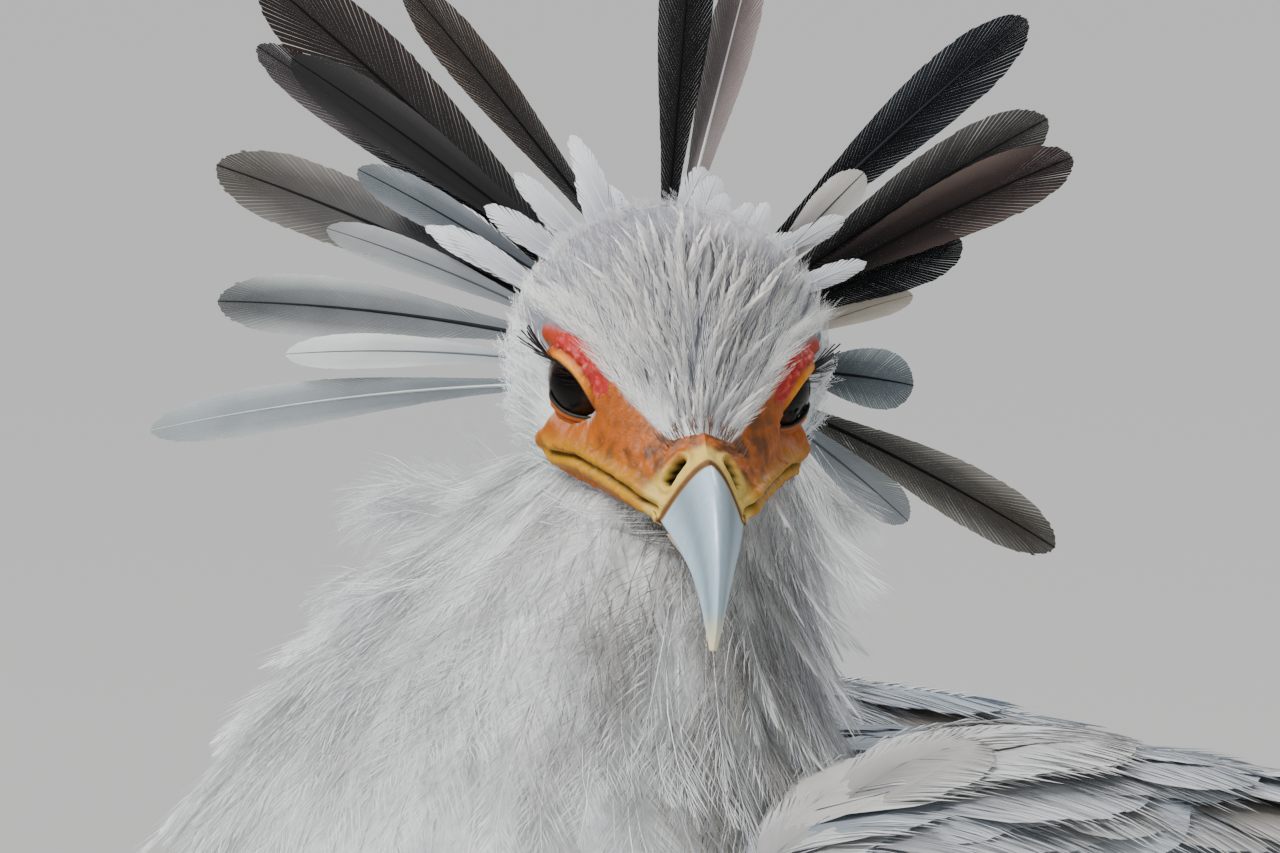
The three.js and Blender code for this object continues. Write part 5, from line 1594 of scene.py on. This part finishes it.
class BIRD_OT_tail(bpy.types.Operator):
    """Twelve tail feathers, banded near their white tips, and their coverts"""

    bl_idname = "bird.tail"
    bl_label = "Tail"

    def execute(self, context):
        rng = np.random.default_rng(16)
        coat = Coat(seed=27)
        forms = forms_of("tail", rng)
        rows = [(number, side, *row) for number, row in enumerate(TAIL_VANES) for side in (-1, 1)]
        number, side, x, spread, length, half = np.array(rows, float).T
        count = len(rows)
        high, paths = 5.5 - 2 * number - (side > 0), []
        for share in (0, 0.5, 1):
            far = TAIL_ROOT + (length - TAIL_ROOT) * share
            paths.append(in_tail(side * (x + np.tan(rad(spread)) * far * 0.9), far, high))
        grey = linear("#8b9198")
        cells = np.stack([np.arange(count) / count, np.full(count, TAIL_PATCH[0])], -1)
        tints = grey, grey * 1.1, grey * 1.15, grey * 0.6
        coat.add(forms, paths, TAIL_UP, half, tints, cells, (0.07, TAIL_PATCH[1]))
        self.band(coat)
        coat.piece("tail_quills", "vane_feather", "tail_feathers")
        coverts = Coat(seed=28)
        forms = forms_of("tail_covert", rng)
        rows = rows_along(tail_at, (0.02, 0.85), 14)
        s, turn = scatter(rng, tail_at, rows, 12, 0.4).T
        count = len(s)
        length = rng.uniform(50, 66, count)
        paths, facing = lay(tail_at, s, turn, length, (-3, 2, 3), rng.normal(0, 2, (count, 3)))
        dark = (smooth((0.25 - s) / 0.15) * (np.sin(turn) > 0))[:, None]
        base = mix(hue("white"), hue("black"), dark) * speckle(rng, count, 0.05)
        coverts.add(forms, paths, facing, length * 0.24, (base * 0.85, base, base, base), atlas(s, turn))
        coverts.piece("tail_coverts", "soft_feather", "tail_feathers")
        return {"FINISHED"}

    def band(self, coat):
        """Two black bands and a white tip on each tail feather, by the share of its length from the root."""
        for _, _, tints, patch, _ in coat.batches:
            share = ((patch[:, 1:] - TAIL_PATCH[0]) / TAIL_PATCH[1]).astype(float)
            for low, high, colour in TAIL_BANDS:
                inside = smooth((share - low) / 0.02) * smooth((high - share) / 0.02)
                tints[:] = mix(tints, linear(colour), inside)


class BIRD_OT_thighs(bpy.types.Operator):
    """The black feathered thighs"""

    bl_idname = "bird.thighs"
    bl_label = "Thighs"

    def execute(self, context):
        rng = np.random.default_rng(17)
        forms = forms_of("thigh", rng)
        for word, side in SIDES.items():
            at = leg_at(THIGH, side)
            s, turn = scatter(rng, at, rows_along(at, (0.06, 0.985), 12.2), 10.6, 0.4).T
            count = len(s)
            length = rng.uniform(27, 38, count) * np.interp(s, [0, 0.6, 1], [1.15, 1, 0.6])
            tip = rng.uniform(0, 2.5, count)
            wander = rng.normal(0, 1.5, (count, 3))
            paths, facing = lay(at, s, turn, length, (-4, tip * 0.4 - 1, tip), wander)
            black = hue("black") * speckle(rng, count, 0.2)
            coat = Coat(seed=29)
            tints = black * 0.8, black * 1.2, black * 1.3, black
            coat.add(forms, paths, facing, length * 0.23, tints, atlas(s, turn))
            coat.piece(f"thigh_feathers_{word}", "soft_feather", "thigh_feathers")
        return {"FINISHED"}


# Repeats made with Geometry Nodes
REPEAT_FIELDS = {"along": "FLOAT_VECTOR", "facing": "FLOAT_VECTOR", "share": "FLOAT"}


def repeated(name, shape, values, roots, fields, material_name):
    """A piece that repeats one shape at many roots. shape(tree, given) adds the shape's nodes, and values are
    its named sizes in metres. The fields along and facing say where its Z and X go, and share is its size."""
    mesh = bpy.data.meshes.new(name)
    mesh.from_pydata(((np.array(roots) + SHIFT) * MM).tolist(), [], [])
    for (title, kind), data in zip(REPEAT_FIELDS.items(), fields):
        layer = mesh.attributes.new(title, kind, "POINT").data
        layer.foreach_set("vector" if "VECTOR" in kind else "value", np.asarray(data, np.float32).ravel())
    piece = placed(name, mesh)
    tree = bpy.data.node_groups.new(name, "GeometryNodeTree")
    for way in ("INPUT", "OUTPUT"):
        tree.interface.new_socket("Geometry", in_out=way, socket_type="NodeSocketGeometry")
    modifier = piece.modifiers.new("repeats", "NODES")
    sockets = {title: tree.interface.new_socket(title, in_out="INPUT", socket_type="NodeSocketFloat")
               for title in values}
    modifier.node_group = tree
    for title, value in values.items():
        modifier[sockets[title].identifier] = value
    given = node(tree, "NodeGroupInput")
    along, facing, share = (
        node(tree, "GeometryNodeInputNamedAttribute", {"data_type": kind}, {"Name": title}).outputs[0]
        for title, kind in REPEAT_FIELDS.items())
    turned = node(tree, "FunctionNodeAxesToRotation", {"primary_axis": "Z", "secondary_axis": "X"},
                  {"Primary Axis": along, "Secondary Axis": facing})
    uneven = node(tree, "FunctionNodeRandomValue", {"data_type": "FLOAT"}, {2: 0.85, 3: 1.15, "Seed": 7})
    scale = node(tree, "ShaderNodeMath", {"operation": "MULTIPLY"}, {0: share, 1: uneven.outputs[1]})
    copies = node(tree, "GeometryNodeInstanceOnPoints", None, {
        "Points": given.outputs["Geometry"], "Instance": shape(tree, given), "Rotation": turned.outputs[0],
        "Scale": scale.outputs[0]})
    real = node(tree, "GeometryNodeRealizeInstances", None, {"Geometry": copies.outputs[0]})
    coloured = node(tree, "GeometryNodeSetMaterial", None, {
        "Geometry": real.outputs[0], "Material": material(material_name)})
    node(tree, "NodeGroupOutput", None, {"Geometry": coloured.outputs[0]})
    plain = bpy.data.meshes.new_from_object(piece.evaluated_get(bpy.context.evaluated_depsgraph_get()))
    piece.modifiers.clear()
    piece.data = plain
    print(f"{name}: {sum(len(p.vertices) - 2 for p in plain.polygons)} triangles")
    return settle(piece, "plumage")


def hair_shape(tree, given):
    """A tapered hair that bends towards X as it runs along Z."""
    end = node(tree, "ShaderNodeCombineXYZ", None, {"X": given.outputs["Bend"], "Z": given.outputs["Length"]})
    middle = node(tree, "ShaderNodeVectorMath", {"operation": "MULTIPLY"},
                  {0: end.outputs[0], 1: (0.1, 0, 0.55)})
    curve = node(tree, "GeometryNodeCurveQuadraticBezier", None, {
        "Resolution": 5, "Start": (0, 0, 0), "Middle": middle.outputs[0], "End": end.outputs[0]})
    run = node(tree, "GeometryNodeSplineParameter")
    taper = node(tree, "ShaderNodeMapRange", None, {
        "Value": run.outputs["Factor"], "To Min": 1.0, "To Max": 0.15})
    tapered = node(tree, "GeometryNodeSetCurveRadius", None, {
        "Curve": curve.outputs[0], "Radius": taper.outputs[0]})
    ring = node(tree, "GeometryNodeCurvePrimitiveCircle", None, {
        "Resolution": 5, "Radius": given.outputs["Thickness"]})
    hair = node(tree, "GeometryNodeCurveToMesh", None, {
        "Curve": tapered.outputs[0], "Profile Curve": ring.outputs[0], "Fill Caps": True})
    return hair.outputs[0]


def scute_shape(tree, given):
    """A flat rounded plate that faces X and runs along Z."""
    ball = node(tree, "GeometryNodeMeshIcoSphere", None, {"Radius": 0.5, "Subdivisions": 2})
    size = node(tree, "ShaderNodeCombineXYZ", None, {
        "X": given.outputs["Thickness"], "Y": given.outputs["Width"], "Z": given.outputs["Height"]})
    plate = node(tree, "GeometryNodeTransform", None, {
        "Geometry": ball.outputs[0], "Scale": size.outputs[0]})
    return node(tree, "GeometryNodeSetShadeSmooth", None, {"Geometry": plate.outputs[0]}).outputs[0]


LASHES, BRISTLES = 34, 90  # lashes on each upper lid, and bristles over the bill


class BIRD_OT_lashes(bpy.types.Operator):
    """Long black lashes on both upper lids, and short bristles between the forehead and the cere"""

    bl_idname = "bird.lashes"
    bl_label = "Lashes"

    def execute(self, context):
        rng = np.random.default_rng(18)
        roots, fields = [], ([], [], [])
        for side in SIDES.values():
            centre, out, longways, crossways = eye_axes(side)
            for a in rng.uniform(0.25, 1.04, LASHES) * np.pi:
                outer = smooth(a / np.pi * 1.6 - 0.6)
                p, q = LIDS["half"] * math.cos(a), LIDS["above"] * max(math.sin(a), 0) ** 2
                far = math.sqrt((EYE["radius"] + 0.8) ** 2 - p * p - q * q)
                way = (out * mix(0.85, 0.35, outer) - longways * mix(0.35, 1.0, outer)
                       + crossways * mix(-0.2, 0.02, outer))
                way = unit(way + rng.normal(0, 0.12, 3))
                roots.append(centre + far * out + p * longways + q * crossways)
                share = mix(0.38, 1.0, outer) * rng.uniform(0.7, 1)
                for field, value in zip(fields, (way, crossways + out * 0.4, share)):
                    field.append(value)
        values = {"Length": sizes().lash_length, "Bend": sizes().lash_length * 0.22, "Thickness": 0.00017}
        repeated("lashes", hair_shape, values, roots, fields, "lash_keratin")
        forward, left = rng.uniform(29.2, 32.6, BRISTLES), rng.uniform(-9, 9, BRISTLES)
        s, turn = on_forehead(forward, left)
        roots, out = head_at(s, turn), unit(head_at(s, turn, 3) - head_at(s, turn))
        ways = out * 0.55 - HEAD[1] * 0.7 + HEAD[2] * 0.4 + HEAD[0] * (left / 14)[:, None]
        ways = unit(ways + rng.normal(0, 0.2, (BRISTLES, 3)))
        values = {"Length": sizes().lash_length * 0.5, "Bend": -0.0006, "Thickness": 0.00011}
        fields = ways, out, rng.uniform(0.5, 1, BRISTLES)
        repeated("bristles", hair_shape, values, roots, fields, "bristle_keratin")
        return {"FINISHED"}


# Columns of scales down the shank: the turn of each round it, and its scales' share of the full size
SCUTE_COLUMNS = {-90: 1, -48: 0.66, -132: 0.66, -8: 0.5, -172: 0.5}


class BIRD_OT_scutes(bpy.types.Operator):
    """Overlapping scales down the front and sides of both shanks"""

    bl_idname = "bird.scutes"
    bl_label = "Leg scales"

    def execute(self, context):
        roots, fields = [], ([], [], [])
        for side in SIDES.values():
            at = leg_at(SHANK, side)
            for k, s in enumerate(rows_along(at, (0.05, 0.97), 5.6, -np.pi / 2)):
                for turn, share in SCUTE_COLUMNS.items():
                    here = np.array([s + 0.004 * (k % 2) * (turn != -90)]), np.array([rad(turn)])
                    down = at(here[0] + 0.01, here[1]) - at(here[0], here[1])
                    roots.append(at(*here, -0.25)[0])
                    out = unit(at(*here, 2) - at(*here))[0]
                    for field, value in zip(fields, (unit(down)[0], out, share)):
                        field.append(value)
        wide = sizes().scute_width
        values = {"Width": wide, "Height": wide * 0.92, "Thickness": 0.0016}
        repeated("leg_scales", scute_shape, values, roots, fields, "leg_scale")
        return {"FINISHED"}


FLOOR_REACH = 40  # m from the middle to the floor's edges
AIM = (0.01765, -0.4146, 0.863)  # m, what the camera looks at
FIELD_WIDE = 0.278  # m, the width of the picture at the head
SENSOR = 36  # mm
# Lights: metres from the target towards the camera, to the right and up, then watts, size and colour
LIGHTS = {
    "key": (1.1, -1.5, 1.9, 110, 1.1, (1, 0.985, 0.96)),
    "fill": (1.6, 1.8, 0.5, 6, 1.8, (0.94, 0.97, 1)),
    "rim": (-1.8, 0.8, 1.6, 60, 1.2, (1, 1, 1)),
}
SKY = {"ahead": 0.9, "right": -1.1, "up": 2.4, "strength": 1.6, "angle": 0.4}
WORLD_COLOUR, WORLD_STRENGTH = (0.86, 0.9, 0.95, 1), 0.42


class BIRD_OT_stage(bpy.types.Operator):
    """Floor, lights and the camera"""

    bl_idname = "bird.stage"
    bl_label = "Studio"

    def execute(self, context):
        far = FLOOR_REACH
        mesh = bpy.data.meshes.new("studio_floor")
        mesh.from_pydata([(-far, -far, 0), (far, -far, 0), (far, far, 0), (-far, far, 0)], [], [(0, 1, 2, 3)])
        mesh.materials.append(material("painted_floor"))
        placed("studio_floor", mesh)
        toward, right, target = Vector(FAN_TOWARD), Vector(FAN_RIGHT), Vector(AIM)
        camera = self.turned("camera", bpy.data.cameras.new("camera"), toward)
        camera.location = target + toward * sizes().camera_distance
        camera.data.sensor_width = SENSOR
        camera.data.lens = SENSOR * sizes().camera_distance / FIELD_WIDE
        camera.data.clip_start, camera.data.clip_end = 0.1, 200
        context.scene.camera = camera
        for name, (ahead, aside, above, power, size, tone) in LIGHTS.items():
            place = toward * ahead + right * aside + Vector((0, 0, above))
            light = self.turned(name, bpy.data.lights.new(name, "AREA"), place)
            light.location = target + place
            light.data.energy, light.data.size, light.data.color = power, size, tone
        place = toward * SKY["ahead"] + right * SKY["right"] + Vector((0, 0, SKY["up"]))
        sun = self.turned("sky_panel", bpy.data.lights.new("sky_panel", "SUN"), place)
        sun.data.energy, sun.data.angle = SKY["strength"], SKY["angle"]
        context.scene.world = bpy.data.worlds.new("studio")
        context.scene.world.use_nodes = True
        background = context.scene.world.node_tree.nodes["Background"]
        background.inputs[0].default_value, background.inputs[1].default_value = WORLD_COLOUR, WORLD_STRENGTH
        return {"FINISHED"}

    def turned(self, name, data, back):
        """A camera or light that looks away from back."""
        made = placed(name, data)
        made.rotation_euler = back.to_track_quat("Z", "Y").to_euler()
        return made


class BIRD_PT_panel(bpy.types.Panel):
    """The bird's sizes, colours and pieces"""

    bl_idname = "BIRD_PT_panel"
    bl_label = "Secretary Bird"
    bl_space_type = "VIEW_3D"
    bl_region_type = "UI"
    bl_category = "Secretary Bird"

    def draw(self, context):
        for title, group in (("Sizes", sizes()), ("Colours", colours())):
            box = self.layout.box()
            box.label(text=title)
            for name in type(group).__annotations__:
                box.prop(group, name)
        column = self.layout.column(align=True)
        for operator in PIECES:
            column.operator(operator.bl_idname)


PIECES = (
    BIRD_OT_stage, BIRD_OT_skin, BIRD_OT_eyes, BIRD_OT_bill, BIRD_OT_claws, BIRD_OT_head_feathers,
    BIRD_OT_neck_feathers, BIRD_OT_body_feathers, BIRD_OT_crest, BIRD_OT_wings, BIRD_OT_tail,
    BIRD_OT_thighs, BIRD_OT_lashes, BIRD_OT_scutes,
)
CLASSES = (BirdSizes, BirdColours, *PIECES, BIRD_PT_panel)


def register():
    for cls in CLASSES:
        bpy.utils.register_class(cls)
    bpy.types.Scene.bird_sizes = bpy.props.PointerProperty(type=BirdSizes)
    bpy.types.Scene.bird_colours = bpy.props.PointerProperty(type=BirdColours)


def unregister():
    del bpy.types.Scene.bird_colours
    del bpy.types.Scene.bird_sizes
    for cls in reversed(CLASSES):
        bpy.utils.unregister_class(cls)


def main():
    register()
    for operator in PIECES:
        getattr(bpy.ops.bird, operator.bl_idname.split(".")[1])()


if __name__ == "__main__":
    main()
